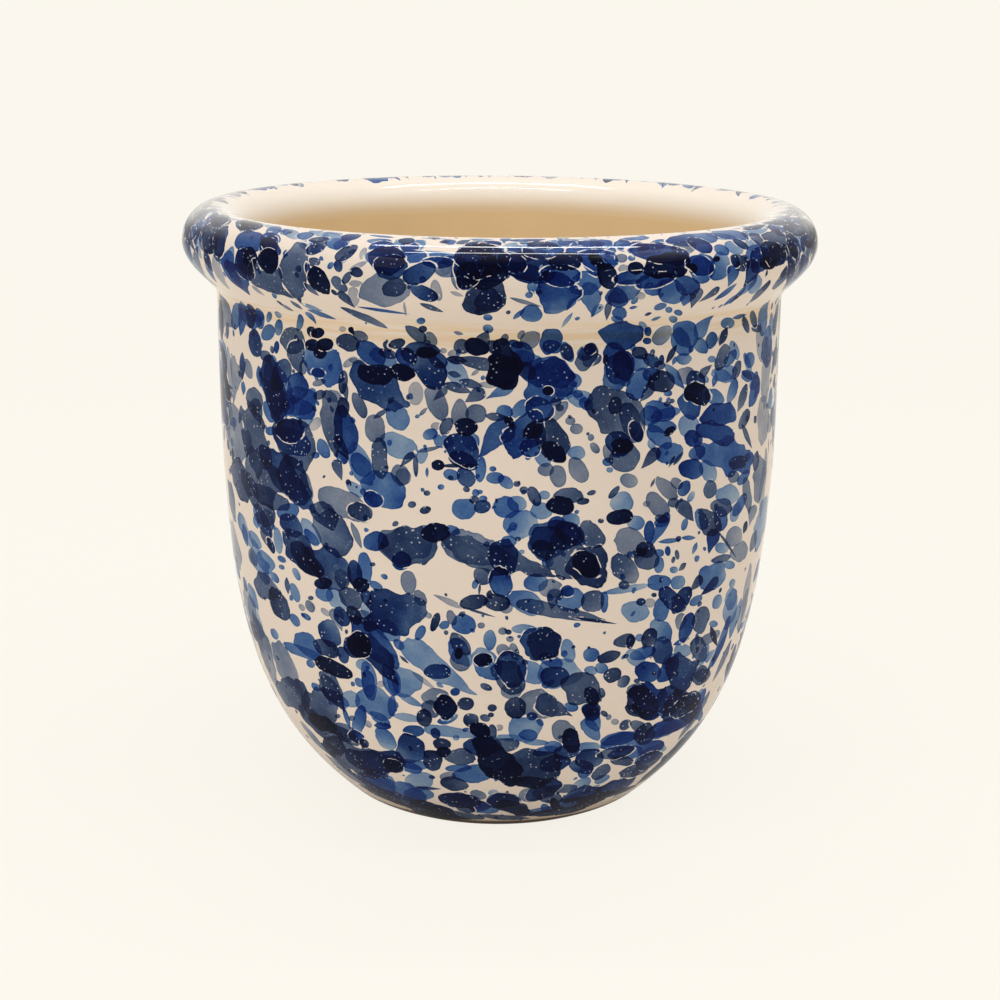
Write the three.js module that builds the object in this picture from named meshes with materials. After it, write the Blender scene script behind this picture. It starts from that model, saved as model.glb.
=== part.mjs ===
// A glazed earthenware plant pot: a thrown clay body with a bowl below, a straight collar above,
// a heavy rolled rim and a turned foot ring with a drain hole, under one coat of glaze outside
// and another inside. Millimetres, +Z up, with the origin on the table at the pot's axis.

import * as THREE from "three";
import { mergeVertices } from "three/addons/utils/BufferGeometryUtils.js";

// Overall sizes, over the glaze
const potHeight = 192; // table to the crest of the rim
const collarDiameter = 179.4; // across the straight wall under the rim
const collarHeight = 37; // straight wall, from the bowl's shoulder up to the crease

// Rolled rim, over the glaze
const rimOverhang = 10.3; // how far the roll stands out past the collar
const rimDepth = 27; // crest of the roll down to where the crease leaves the collar
const rimCrown = 10.7; // crest of the roll down to its widest line
const lipDrop = 11; // crest of the roll down to where the inner wall turns upright
const creasePull = 4.5; // how tightly the crease turns out of the collar
const rollPull = 7.2; // how full the underside of the roll is

// Bowl: a curve that leaves the foot at an angle and runs upright into the collar
const bowlAngle = 42; // degrees above the table, at the foot
const bowlFootFullness = 0.25; // pull of the curve at the foot, as a share of its chord
const bowlShoulderFullness = 0.61; // pull of the curve at the shoulder, as a share of its chord

// Clay
const wallThickness = 8;
const floorThickness = 10; // table to the top of the clay floor
const floorCorner = 13; // cut-back of the round corner between floor and bowl

// Foot ring and drain hole, bare clay
const footDiameter = 100; // outside of the ring, where its edge would be sharp
const footEdge = 1.2; // cut-back of the ring's sponged outer edge
const footRingWidth = 9; // flat that stands on the table
const footRecess = 3; // depth of the turned hollow inside the ring
const footRecessLean = 2; // how far the hollow's side leans in over its depth
const drainHoleDiameter = 18;

// Glaze
const glazeThickness = 0.6; // clay to the open face of a coat
const glazeClearance = 0.05; // keeps a coat's facets just clear of the clay's
const glazeLineHeight = 2.4; // table to the lower edge of the outer coat, wiped clean below it

// Facets
const turnSegments = 48;
const bowlSteps = 11;
const creaseSteps = 7;
const rollSteps = 5;
const cornerSteps = 3;
const edgeSteps = 2;

// Clay sizes that follow from those over the glaze
const collarRadius = collarDiameter / 2 - glazeThickness;
const rimRadius = collarRadius + rimOverhang;
const boreRadius = collarRadius - wallThickness;
const crestRadius = (rimRadius + boreRadius) / 2;
const crestHeight = potHeight - glazeThickness;
const rollHeight = potHeight - rimCrown;
const creaseHeight = potHeight - rimDepth;
const shoulderHeight = creaseHeight - collarHeight;
const lipHeight = potHeight - lipDrop;
const footRadius = footDiameter / 2;
const drainRadius = drainHoleDiameter / 2;

const point = (radius, height) => new THREE.Vector2(radius, height);

// Outlines are walked with the clay on their left. This moves one to its right, with mitred corners.
function offsetLine(line, distance) {
  const sides = line.slice(1).map((end, i) => {
    const along = end.clone().sub(line[i]).normalize();
    return point(along.y, -along.x);
  });
  return line.map((corner, i) => {
    const before = sides[Math.max(i - 1, 0)];
    const after = sides[Math.min(i, sides.length - 1)];
    const mitre = before.clone().add(after);
    return corner.clone().addScaledVector(mitre, (2 * distance) / mitre.lengthSq());
  });
}

// Drops the start of a line, up to where a measure of its points first rises above zero.
function trimStart(line, measure) {
  const first = line.findIndex((p) => measure(p) > 0);
  const low = measure(line[first - 1]);
  const high = measure(line[first]);
  const edge = line[first - 1].clone().lerp(line[first], low / (low - high));
  return [edge, ...line.slice(first)];
}

// Rounds the corner where a flat coming out from the axis meets the start of a rising line.
function roundStart(line, cutBack, steps) {
  const corner = line[0];
  const rising = trimStart(line, (p) => p.distanceTo(corner) - cutBack);
  const flatEnd = point(corner.x - cutBack, corner.y);
  const round = new THREE.QuadraticBezierCurve(flatEnd, corner, rising[0]);
  return [...round.getPoints(steps), ...rising.slice(1)];
}

// Outside of the bowl and collar, from the foot up to the crease
function wallLine() {
  const foot = point(footRadius, 0);
  const shoulder = point(collarRadius, shoulderHeight);
  const chord = foot.distanceTo(shoulder);
  const leave = THREE.MathUtils.degToRad(bowlAngle);
  const footPull = point(Math.cos(leave), Math.sin(leave)).multiplyScalar(bowlFootFullness * chord);
  const shoulderPull = point(0, bowlShoulderFullness * chord);
  const bowl = new THREE.CubicBezierCurve(
    foot,
    foot.clone().add(footPull),
    shoulder.clone().sub(shoulderPull),
    shoulder,
  );
  return [...bowl.getSpacedPoints(bowlSteps), point(collarRadius, creaseHeight)];
}

// Rolled rim: the crease swings out under the roll, and the roll turns over into the bore
function rimLine() {
  const crease = new THREE.CubicBezierCurve(
    point(collarRadius, creaseHeight),
    point(collarRadius, creaseHeight + creasePull),
    point(rimRadius, rollHeight - rollPull),
    point(rimRadius, rollHeight),
  );
  const overRoll = new THREE.EllipseCurve(
    crestRadius, rollHeight, rimRadius - crestRadius, crestHeight - rollHeight, 0, Math.PI / 2,
  );
  const intoBore = new THREE.EllipseCurve(
    crestRadius, lipHeight, crestRadius - boreRadius, crestHeight - lipHeight, Math.PI / 2, Math.PI,
  );
  return [
    ...crease.getPoints(creaseSteps).slice(1),
    ...overRoll.getPoints(rollSteps).slice(1),
    ...intoBore.getPoints(rollSteps).slice(1),
  ];
}

// Inside of the wall, at one thickness from the outside, down to the floor and in to the drain hole
function boreLine(wall) {
  const run = wall[1].clone().sub(wall[0]).setLength(footRadius);
  const belowFoot = wall[0].clone().sub(run);
  const inner = offsetLine([belowFoot, ...wall], -wallThickness);
  const aboveFloor = trimStart(inner, (p) => p.y - floorThickness);
  const rising = roundStart(aboveFloor, floorCorner, cornerSteps);
  return [...rising.slice(0, -1).reverse(), point(drainRadius, floorThickness)];
}

// Underside: the turned hollow inside the foot ring, from the drain hole out to the ring's flat
function footLine() {
  const ringInside = footRadius - footRingWidth;
  return [
    point(drainRadius, footRecess),
    point(ringInside - footRecessLean, footRecess),
    point(ringInside, 0),
  ];
}

// Turns a closed outline round the pot's axis
function turned(name, outline, material) {
  const lathe = new THREE.LatheGeometry([...outline, outline[0]], turnSegments);
  lathe.deleteAttribute("normal");
  lathe.deleteAttribute("uv");
  const geometry = mergeVertices(lathe);
  geometry.rotateX(Math.PI / 2);
  geometry.computeVertexNormals();
  const mesh = new THREE.Mesh(geometry, material);
  mesh.name = name;
  return mesh;
}

const wall = wallLine();
const outside = [...roundStart(wall, footEdge, edgeSteps), ...rimLine()];
const bareFoot = outside.filter((p) => p.y < glazeLineHeight);
const glazedOutside = trimStart(outside, (p) => p.y - glazeLineHeight);
const glazedInside = boreLine(wall);

// One skin over the glazed clay, parted at the lip into the outer coat and the lining
const glazed = [...glazedOutside, ...glazedInside];
const claySide = offsetLine(glazed, glazeClearance);
const openSide = offsetLine(glazed, glazeThickness);
const lip = glazedOutside.length - 1;
const drain = glazed.length - 1;

function coatOutline(first, last) {
  const over = openSide.slice(first, last + 1);
  const under = claySide.slice(first, last + 1);
  return [...over, ...under.reverse()];
}

const clayMaterial = new THREE.MeshStandardMaterial({
  color: 0x9a5a3c, roughness: 0.85, metalness: 0,
});
const splatterMaterial = new THREE.MeshStandardMaterial({
  color: 0x3f5e94, roughness: 0.12, metalness: 0,
});
const creamMaterial = new THREE.MeshStandardMaterial({
  color: 0xe6d6bc, roughness: 0.12, metalness: 0,
});

const pot = new THREE.Group();
pot.add(turned("clay_body", [...footLine(), ...bareFoot, ...glazed], clayMaterial));
pot.add(turned("outer_glaze", coatOutline(0, lip), splatterMaterial));
pot.add(turned("inner_glaze", coatOutline(lip, drain), creamMaterial));

export default pot;
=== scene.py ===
# Looks of a glazed earthenware plant pot: a thrown clay body, an outer coat of cream glaze splattered
# with blue and grey, and a plain cream lining. Metres, +Z up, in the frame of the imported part.
import math

import bpy
import numpy as np
from mathutils import Matrix, Vector, kdtree
from mathutils.geometry import interpolate_bezier


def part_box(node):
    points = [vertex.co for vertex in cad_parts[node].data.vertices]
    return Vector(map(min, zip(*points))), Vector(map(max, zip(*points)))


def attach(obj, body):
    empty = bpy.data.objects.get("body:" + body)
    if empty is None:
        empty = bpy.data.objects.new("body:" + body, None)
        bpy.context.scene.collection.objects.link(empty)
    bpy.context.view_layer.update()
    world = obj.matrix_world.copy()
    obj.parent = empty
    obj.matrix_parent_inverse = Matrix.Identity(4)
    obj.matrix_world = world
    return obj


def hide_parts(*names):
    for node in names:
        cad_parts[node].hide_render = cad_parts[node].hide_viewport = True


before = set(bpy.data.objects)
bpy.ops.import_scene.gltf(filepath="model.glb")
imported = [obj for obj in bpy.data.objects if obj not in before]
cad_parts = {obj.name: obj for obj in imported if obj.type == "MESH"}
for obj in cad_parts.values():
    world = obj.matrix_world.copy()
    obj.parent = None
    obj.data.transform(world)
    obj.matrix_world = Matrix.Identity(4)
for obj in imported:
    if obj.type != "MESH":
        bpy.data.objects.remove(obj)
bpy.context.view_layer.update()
_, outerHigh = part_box("outer_glaze")

mm = 0.001


# Camera and stage

photoView = {
    "lens": 64.8,                       # mm
    "sensor": 36,                       # mm along a side
    "lookAt": (0.71 * mm, 0, 93.84 * mm),
    "distance": 597.8 * mm,
    "pitch": 15.49,                     # degrees, looking down
    "roll": 0.48,                       # degrees, the photographed pot leans clockwise by this
    "frame": 1000,                      # pixels along a side
    "sight": (0.7, 1.3, 2400),          # span of a line of sight, in distances, and its steps
}
stage = {
    "pale": (0.965, 0.931, 0.855),      # floor and backdrop, linear
    "size": 400,
    "ownLight": 0.92,                   # share of the floor's look that is free of shadow, near the pot
    "shadowFades": (0.3, 1.5),          # metres from the pot, where the rest of the shadow goes
    "mirroredLight": 0.35,              # the same share where the glaze reflects the floor
    "worldLight": 0.53,
}
lamps = {                               # place, aimed at, size across and along, watts
    "softKey": ((-1.4, -1.2, 1.4), (0, 0, 0.1), (1.0, 1.0), 12),
    "overStrip": ((0.05, 0.20, 1.6), (0.05, -0.10, 0.19), (1.3, 0.07), 9),
    "softFill": ((1.3, -0.5, 1.5), (0, 0, 0.12), (1.0, 1.0), 5.2),
    "frontStrip": ((0.05, -0.42, 1.6), (0.05, -0.10, 0.19), (1.3, 0.05), 7),
}


def viewMatrix():
    turn = Matrix.Rotation(math.radians(90 - photoView["pitch"]), 4, "X")
    roll = Matrix.Rotation(math.radians(photoView["roll"]), 4, "Z")
    back = Matrix.Translation((0, 0, photoView["distance"]))
    return Matrix.Translation(photoView["lookAt"]) @ turn @ roll @ back


def addCamera():
    bpy.ops.object.camera_add()
    camera = bpy.context.object
    camera.name = "photoCamera"
    camera.data.lens = photoView["lens"]
    camera.matrix_world = viewMatrix()
    bpy.context.scene.camera = camera


def addLamps():
    for name, (place, target, size, watts) in lamps.items():
        bpy.ops.object.light_add(type="AREA", location=place)
        lamp = bpy.context.object
        lamp.name = name
        lamp.data.shape = "RECTANGLE"
        lamp.data.size, lamp.data.size_y = size
        lamp.data.energy = watts
        aim = Vector(target) - Vector(place)
        lamp.rotation_euler = aim.to_track_quat("-Z", "Y").to_euler()


# One wrapped socket: sums on it add Math nodes, and node() adds any other kind

class Shade:
    def __init__(self, tree, socket=None):
        self.tree = tree
        self.socket = socket

    def node(self, kind, inputs=None, output=0, **settings):
        made = self.tree.nodes.new("ShaderNode" + kind)
        for name, value in settings.items():
            setattr(made, name, value)
        for name, value in (inputs or {}).items():
            if isinstance(value, Shade):
                self.tree.links.new(value.socket, made.inputs[name])
            else:
                made.inputs[name].default_value = value
        return Shade(self.tree, made.outputs[output] if made.outputs else None)

    def math(self, operation, *values):
        return self.node("Math", dict(enumerate(values)), operation=operation)

    def split(self):
        parts = self.node("SeparateXYZ", {0: self})
        made = parts.socket.node
        return [Shade(self.tree, out) for out in made.outputs]

    def step(self, low, high):
        limits = {"Value": self, "From Min": low, "From Max": high}
        return self.node("MapRange", limits, interpolation_type="SMOOTHSTEP")

    def root(self):
        return self.math("SQRT", self)

    def exponent(self):
        return self.math("EXPONENT", self)

    def atLeast(self, least):
        return self.math("MAXIMUM", self, least)

    def atMost(self, most):
        return self.math("MINIMUM", self, most)

    def __add__(self, other):
        return self.math("ADD", self, other)

    def __sub__(self, other):
        return self.math("SUBTRACT", self, other)

    def __mul__(self, other):
        return self.math("MULTIPLY", self, other)

    def __truediv__(self, other):
        return self.math("DIVIDE", self, other)

    def __rsub__(self, other):
        return self.math("SUBTRACT", other, self)

    def __rtruediv__(self, other):
        return self.math("DIVIDE", other, self)

    __radd__ = __add__
    __rmul__ = __mul__


def newMaterial(name):
    material = bpy.data.materials.new(name)
    material.use_nodes = True
    material.node_tree.nodes.clear()
    return material, Shade(material.node_tree)


def closeMaterial(shade, surface):
    shade.node("OutputMaterial", {"Surface": surface})


def addFloor():
    bpy.ops.mesh.primitive_plane_add(size=stage["size"])
    floor = bpy.context.object
    floor.name = "floor"
    material, shade = newMaterial("paleFloor")
    pale = (*stage["pale"], 1)
    seen = shade.node("LightPath", output="Is Camera Ray")
    path = seen.socket.node.outputs
    mirrored = Shade(shade.tree, path["Is Glossy Ray"]) + Shade(shade.tree, path["Is Transmission Ray"])
    lit = shade.node("BsdfDiffuse", {"Color": pale})
    plain = shade.node("Emission", {"Color": pale})
    east, north, _ = shade.node("TexCoord", output="Object").split()
    away = (east * east + north * north).root()
    own = stage["ownLight"] + (1 - stage["ownLight"]) * away.step(*stage["shadowFades"])
    share = seen * own + (1 - seen) * mirrored * stage["mirroredLight"]
    closeMaterial(shade, shade.node("MixShader", {0: share, 1: lit, 2: plain}))
    floor.data.materials.append(material)


def addWorld():
    world = bpy.data.worlds.new("paleRoom")
    world.use_nodes = True
    world.node_tree.nodes.clear()
    shade = Shade(world.node_tree)
    seen = shade.node("LightPath", output="Is Camera Ray")
    path = seen.socket.node.outputs
    mirrored = Shade(shade.tree, path["Is Glossy Ray"]) + Shade(shade.tree, path["Is Transmission Ray"])
    seen = (seen + mirrored).atMost(1)
    strength = stage["worldLight"] + seen * (1 - stage["worldLight"])
    room = shade.node("Background", {"Color": (*stage["pale"], 1), "Strength": strength})
    shade.node("OutputWorld", {"Surface": room})
    bpy.context.scene.world = world


bpy.context.scene.view_settings.view_transform = "Standard"
addCamera()
addLamps()
addWorld()
bpy.ops.object.select_all(action="DESELECT")
addFloor()
print("stage: camera, lamps, world and floor are in place")


# Outlines of the pot, walked upwards along the outside and down the inside

pot = {
    "height": outerHigh.z,              # over the glaze
    "rimRadius": outerHigh.x,
    "collarRadius": 89.7 * mm,
    "collarHeight": 37 * mm,            # straight wall, shoulder to crease
    "rimDepth": 27 * mm,                # crest down to the crease
    "rimCrown": 10.7 * mm,              # crest down to the widest line
    "lipDrop": 11 * mm,                 # crest down to where the bore is upright
    "creasePull": 4.5 * mm,
    "rollPull": 7.2 * mm,
    "footRadius": 50 * mm,
    "bowlAngle": 42,                    # degrees, where the bowl leaves the foot
    "footFullness": 0.25,               # pulls of the bowl's curve, as shares of its chord
    "shoulderFullness": 0.61,
    "wall": 8 * mm,
    "floor": 10 * mm,
    "floorCorner": 13 * mm,
    "footEdge": 1.2 * mm,
    "footEdgeRise": 0.6,                # height of that edge, as a share of its width
    "footRing": 9 * mm,
    "footRecess": 3 * mm,
    "recessLean": 2 * mm,
    "drainRadius": 9 * mm,
    "glaze": 0.6 * mm,
    "glazeGap": 0.05 * mm,              # between a coat and the clay
    "glazeLine": 2.4 * mm,              # lower edge of the outer coat
    "lipOverlap": 1.2 * mm,             # the outer coat runs this far down the bore
}
clayRadius = pot["collarRadius"] - pot["glaze"]
rollRadius = pot["rimRadius"] - pot["glaze"]
boreRadius = clayRadius - pot["wall"]
crestRadius = (rollRadius + boreRadius) / 2
crestHeight = pot["height"] - pot["glaze"]
rollHeight = pot["height"] - pot["rimCrown"]
creaseHeight = pot["height"] - pot["rimDepth"]
shoulderHeight = creaseHeight - pot["collarHeight"]
lipHeight = pot["height"] - pot["lipDrop"]


def bezier(start, startPull, endPull, end, count):
    points = interpolate_bezier(*(Vector((*p, 0)) for p in (start, startPull, endPull, end)), count)
    return np.array([(p.x, p.y) for p in points])


def quarter(centre, radii, first, count):
    turn = np.radians(np.linspace(first, first + 90, count))
    return np.stack([centre[0] + radii[0] * np.cos(turn), centre[1] + radii[1] * np.sin(turn)], 1)


def offset(line, distance):
    along = np.diff(line, axis=0)
    along /= np.linalg.norm(along, axis=1, keepdims=True)
    side = np.stack([along[:, 1], -along[:, 0]], 1)
    mitre = np.concatenate([side[:1], side]) + np.concatenate([side, side[-1:]])
    return line + mitre * (2 * distance / (mitre ** 2).sum(1, keepdims=True))


def lengthsAlong(line):
    return np.concatenate([[0], np.linalg.norm(np.diff(line, axis=0), axis=1).cumsum()])


def pointsAt(line, lengths):
    known = lengthsAlong(line)
    return np.stack([np.interp(lengths, known, line[:, 0]), np.interp(lengths, known, line[:, 1])], 1)


def evenly(line, spacing):
    total = lengthsAlong(line)[-1]
    return pointsAt(line, np.linspace(0, total, round(total / spacing) + 1))


def cutBelow(line, height):
    first = int(np.argmax(line[:, 1] > height))
    low, high = line[first - 1], line[first]
    edge = low + (high - low) * (height - low[1]) / (high[1] - low[1])
    return np.concatenate([[edge], line[first:]])


def bowlLine(count):
    foot = np.array([pot["footRadius"], 0])
    shoulder = np.array([clayRadius, shoulderHeight])
    chord = np.linalg.norm(shoulder - foot)
    leave = math.radians(pot["bowlAngle"])
    footPull = foot + pot["footFullness"] * chord * np.array([math.cos(leave), math.sin(leave)])
    shoulderPull = shoulder - (0, pot["shoulderFullness"] * chord)
    return bezier(foot, footPull, shoulderPull, shoulder, count)


def rimLine(count):
    crease = bezier(
        (clayRadius, creaseHeight), (clayRadius, creaseHeight + pot["creasePull"]),
        (rollRadius, rollHeight - pot["rollPull"]), (rollRadius, rollHeight), count)
    crown = (rollRadius - crestRadius, crestHeight - rollHeight)
    over = quarter((crestRadius, rollHeight), crown, 0, count)
    lip = (crestRadius - boreRadius, crestHeight - lipHeight)
    intoBore = quarter((crestRadius, lipHeight), lip, 90, count)
    return np.concatenate([crease, over[1:], intoBore[1:]])


def outsideLine(count):
    below = (boreRadius, lipHeight - pot["lipOverlap"])
    return np.concatenate([bowlLine(count), rimLine(count), [below]])


def boreLine(count):
    inner = offset(bowlLine(count), -pot["wall"])
    corner = cutBelow(inner, pot["floor"])
    up = lengthsAlong(corner)
    rise = pointsAt(corner, [pot["floorCorner"]])[0]
    flat = corner[0] - (pot["floorCorner"], 0)
    blend = np.linspace(0, 1, mesh["corner"])[:, None]
    turned = (1 - blend) ** 2 * flat + 2 * blend * (1 - blend) * corner[0] + blend ** 2 * rise
    rising = np.concatenate([turned, corner[up > pot["floorCorner"] + mm]])
    top = [(boreRadius, lipHeight - pot["lipOverlap"])]
    return np.concatenate([top, rising[::-1], [(pot["drainRadius"], pot["floor"])]])


def roundEnd(start, end, count):
    middle, half = (start + end) / 2, (end - start) / 2
    bulge = np.array([half[1], -half[0]])
    turn = np.linspace(0, math.pi, count + 2)[1:-1, None]
    return middle - half * np.cos(turn) + bulge * np.sin(turn)


print("outlines: collar", round(clayRadius / mm, 1), "mm, rim", round(rollRadius / mm, 1), "mm in clay")


# Spinning a closed outline round the pot's axis

def spun(name, outline, steps):
    bpy.ops.object.select_all(action="DESELECT")
    bpy.ops.mesh.primitive_circle_add(
        vertices=len(outline), radius=pot["rimRadius"], fill_type="NOTHING")
    piece = bpy.context.object
    piece.name = name
    piece.data.name = name
    for vertex, (radius, height) in zip(piece.data.vertices, outline):
        vertex.co = (radius, 0, height)
    turn = piece.modifiers.new("turn", "SCREW")
    turn.steps = turn.render_steps = steps
    turn.use_merge_vertices = True
    turn.merge_threshold = mesh["weld"]
    bpy.ops.object.modifier_apply(modifier=turn.name)
    bpy.ops.object.mode_set(mode="EDIT")
    bpy.ops.mesh.select_all(action="SELECT")
    bpy.ops.mesh.remove_doubles(threshold=mesh["weld"])
    bpy.ops.mesh.normals_make_consistent(inside=False)
    bpy.ops.object.mode_set(mode="OBJECT")
    bpy.ops.object.shade_smooth_by_angle(angle=math.radians(mesh["smoothBelow"]))
    return piece


def placesOf(piece):
    flat = np.empty(len(piece.data.vertices) * 3, np.float32)
    piece.data.vertices.foreach_get("co", flat)
    return flat.reshape(-1, 3).astype(float)


# A thrown pot is never quite round: the same slow waver on every piece

waver = {
    "oval": 0.16 * mm,
    "ovalTurn": 0.6,                    # radians
    "threeWay": 0.1 * mm,
    "rise": 14,                         # radians that the three-way waver turns over the pot's height
}


def addWaver(piece):
    places = placesOf(piece)
    turn = np.arctan2(places[:, 1], places[:, 0])
    out = waver["oval"] * np.sin(2 * turn + waver["ovalTurn"])
    out += waver["threeWay"] * np.sin(3 * turn + waver["rise"] * places[:, 2] / pot["height"])
    reach = np.hypot(places[:, 0], places[:, 1])
    places[:, :2] *= (1 + out * reach / pot["rimRadius"] / reach.clip(mm))[:, None]
    piece.data.vertices.foreach_set("co", places.astype(np.float32).ravel())
    piece.data.update()


mesh = {
    "steps": 420,                       # round the coats
    "claySteps": 192,
    "rowSpacing": 1.5 * mm,             # up the shown side of the outer coat
    "liningSpacing": 3 * mm,
    "fine": 60,                         # points along each curve before they are spaced evenly
    "hidden": 14,                       # points along each curve of a side that is never seen
    "corner": 9,                        # points round the corner of the floor
    "coatEnd": 5,                       # points round the end of a coat
    "weld": 0.002 * mm,
    "smoothBelow": 40,                  # degrees
}

outside = cutBelow(outsideLine(mesh["fine"]), pot["glazeLine"])
outsideHidden = cutBelow(outsideLine(mesh["hidden"]), pot["glazeLine"])
coatShown = evenly(offset(outside, pot["glaze"]), mesh["rowSpacing"])
coatHidden = offset(outsideHidden, pot["glazeGap"])[::-1]
coatEnd = roundEnd(coatHidden[-1], coatShown[0], mesh["coatEnd"])
outerOutline = np.concatenate([coatShown, coatHidden, coatEnd])
outerCoat = spun("outerGlaze", outerOutline, mesh["steps"])

inside = boreLine(mesh["fine"])
liningShown = evenly(offset(inside, pot["glaze"]), mesh["liningSpacing"])
liningHidden = offset(boreLine(mesh["hidden"]), pot["glazeGap"])[::-1]
liningEnd = roundEnd(liningShown[-1], liningHidden[0], mesh["coatEnd"])
lining = spun("innerGlaze", np.concatenate([liningShown, liningEnd, liningHidden]), mesh["steps"])

ringInside = pot["footRadius"] - pot["footRing"]
footLine = np.array([
    (pot["drainRadius"], pot["footRecess"]),
    (ringInside - pot["recessLean"], pot["footRecess"]),
    (ringInside, 0),
    (pot["footRadius"] - pot["footEdge"], 0),
])
clayWall = cutBelow(outsideLine(mesh["hidden"]), pot["footEdge"] * pot["footEdgeRise"])
clayOutline = np.concatenate([footLine, clayWall, boreLine(mesh["hidden"])[1:]])
clay = spun("clayBody", clayOutline, mesh["claySteps"])
for piece in (outerCoat, lining, clay):
    print("spun:", piece.name, len(piece.data.polygons), "faces")


# Splatter: drops are thrown on the outer coat one by one, and each keeps its own place on the faces that
# it wets. A layer holds drops that don't meet, so the layers lie over each other as thrown paint does.

splatter = {
    "seed": 11,
    "layers": 16,
    "margin": 0.9 * mm,                 # faces this far outside a drop are kept for its edge
    "wider": 0.2,                       # and this share of its width further
    "kinds": {                          # drops on 1000 mm2, half-length, slimness, taper, spindle
        "pool": (4.4, (3.5, 8.0), (0.50, 0.90), (0.0, 0.2), (0.0, 0.15)),
        "drop": (27, (1.7, 3.8), (0.55, 1.00), (0.0, 0.2), (0.0, 0.1)),
        "tear": (4.5, (2.2, 6.0), (0.30, 0.50), (0.4, 0.8), (0.0, 0.3)),
        "spindle": (5, (2.5, 7.5), (0.14, 0.30), (0.0, 0.5), (0.7, 1.0)),
        "bead": (22, (0.4, 1.2), (0.60, 1.00), (0.0, 0.3), (0.0, 0.1)),
    },
    "paints": {                         # share of the drops, then cobalt and grey
        "paleBlue": (0.18, 0.62, 0.06),
        "paleGrey": (0.10, 0.06, 0.50),
        "blue": (0.24, 1.06, 0.12),
        "grey": (0.11, 0.18, 0.82),
        "slate": (0.15, 0.30, 1.48),
        "deepBlue": (0.10, 1.62, 0.40),
        "navy": (0.07, 1.10, 1.20),
        "charcoal": (0.03, 0.40, 2.60),
        "ink": (0.02, 1.00, 5.80),
    },
    "beadPaints": ["blue", "slate", "charcoal"],
    "unevenPaint": 0.2,
    "resistPaints": ("slate", "deepBlue", "navy", "charcoal", "ink"),
    "wallResist": 0.15,                 # share of those on the wall that push other paint away
    "rimResist": 0.7,                   # share of all drops on the roll that do so
    "rimFrom": 4 * mm,                  # the roll starts this far below its widest line
    "frontTurn": (64, 73),              # degrees from the front, where thrown drops take over
    "frontShare": {"pool": 0, "drop": 0, "tear": 0, "spindle": 0, "bead": 0.4},
    "uprightFrom": 12 * mm,             # from this far below the crease, drops run up and down
    "uprightLean": 0.25,                # radians
    "sizes": (0.25 * mm, 16 * mm),      # least and most of a read drop, from its middle, either way
}
clumping = {                            # slow waves that make the throw uneven
    "depth": 0.35,
    "waves": 9,
    "around": (1, 9),                   # waves in a turn
    "upwards": (20, 90),                # radians in a metre
}
masses = {                              # heavy splashes of several pools
    "count": 30,
    "clearOf": (8 * mm, 14 * mm),       # the glaze line and the crease
    "pools": (3, 7),
    "reach": 4.5 * mm,
    "lengths": (4, 9),
    "slimness": (0.45, 0.9),
    "lean": 0.5,
    "tapers": (0, 0.3),
    "spindles": (0, 0.3),
    "paints": ["slate", "ink", "navy", "blue"],
    "resist": [0, 0, 1],
}
lipTicks = {                            # short drops that hang over the crest into the bore
    "count": 44,
    "scatter": (-0.4, 0.4),             # share of the spacing
    "pastCrest": (0.8, 1.6),            # mm
    "lengths": (1.2, 4.4),
    "slimness": (0.15, 0.36),
    "lean": 0.45,
    "tapers": (0.5, 0.8),
    "spindles": (0, 0.3),
    "paints": ["paleBlue", "blue", "deepBlue", "grey"],
}
shapes = {                              # taper and spindle of a drop that is read from the photograph
    "oval": (0.0, 0.0),
    "tear": (0.75, 0.1),
    "spindle": (0.15, 0.5),
}
readSize = {"longer": 0.36, "wider": 1.1}   # a drop's round ends reach past the ends that are read

# Drops on the front, read from the photograph, in its pixels: the ends of the long axis and the
# width. A tear is pointed at its second end, and a disc is a place and a radius.

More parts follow.
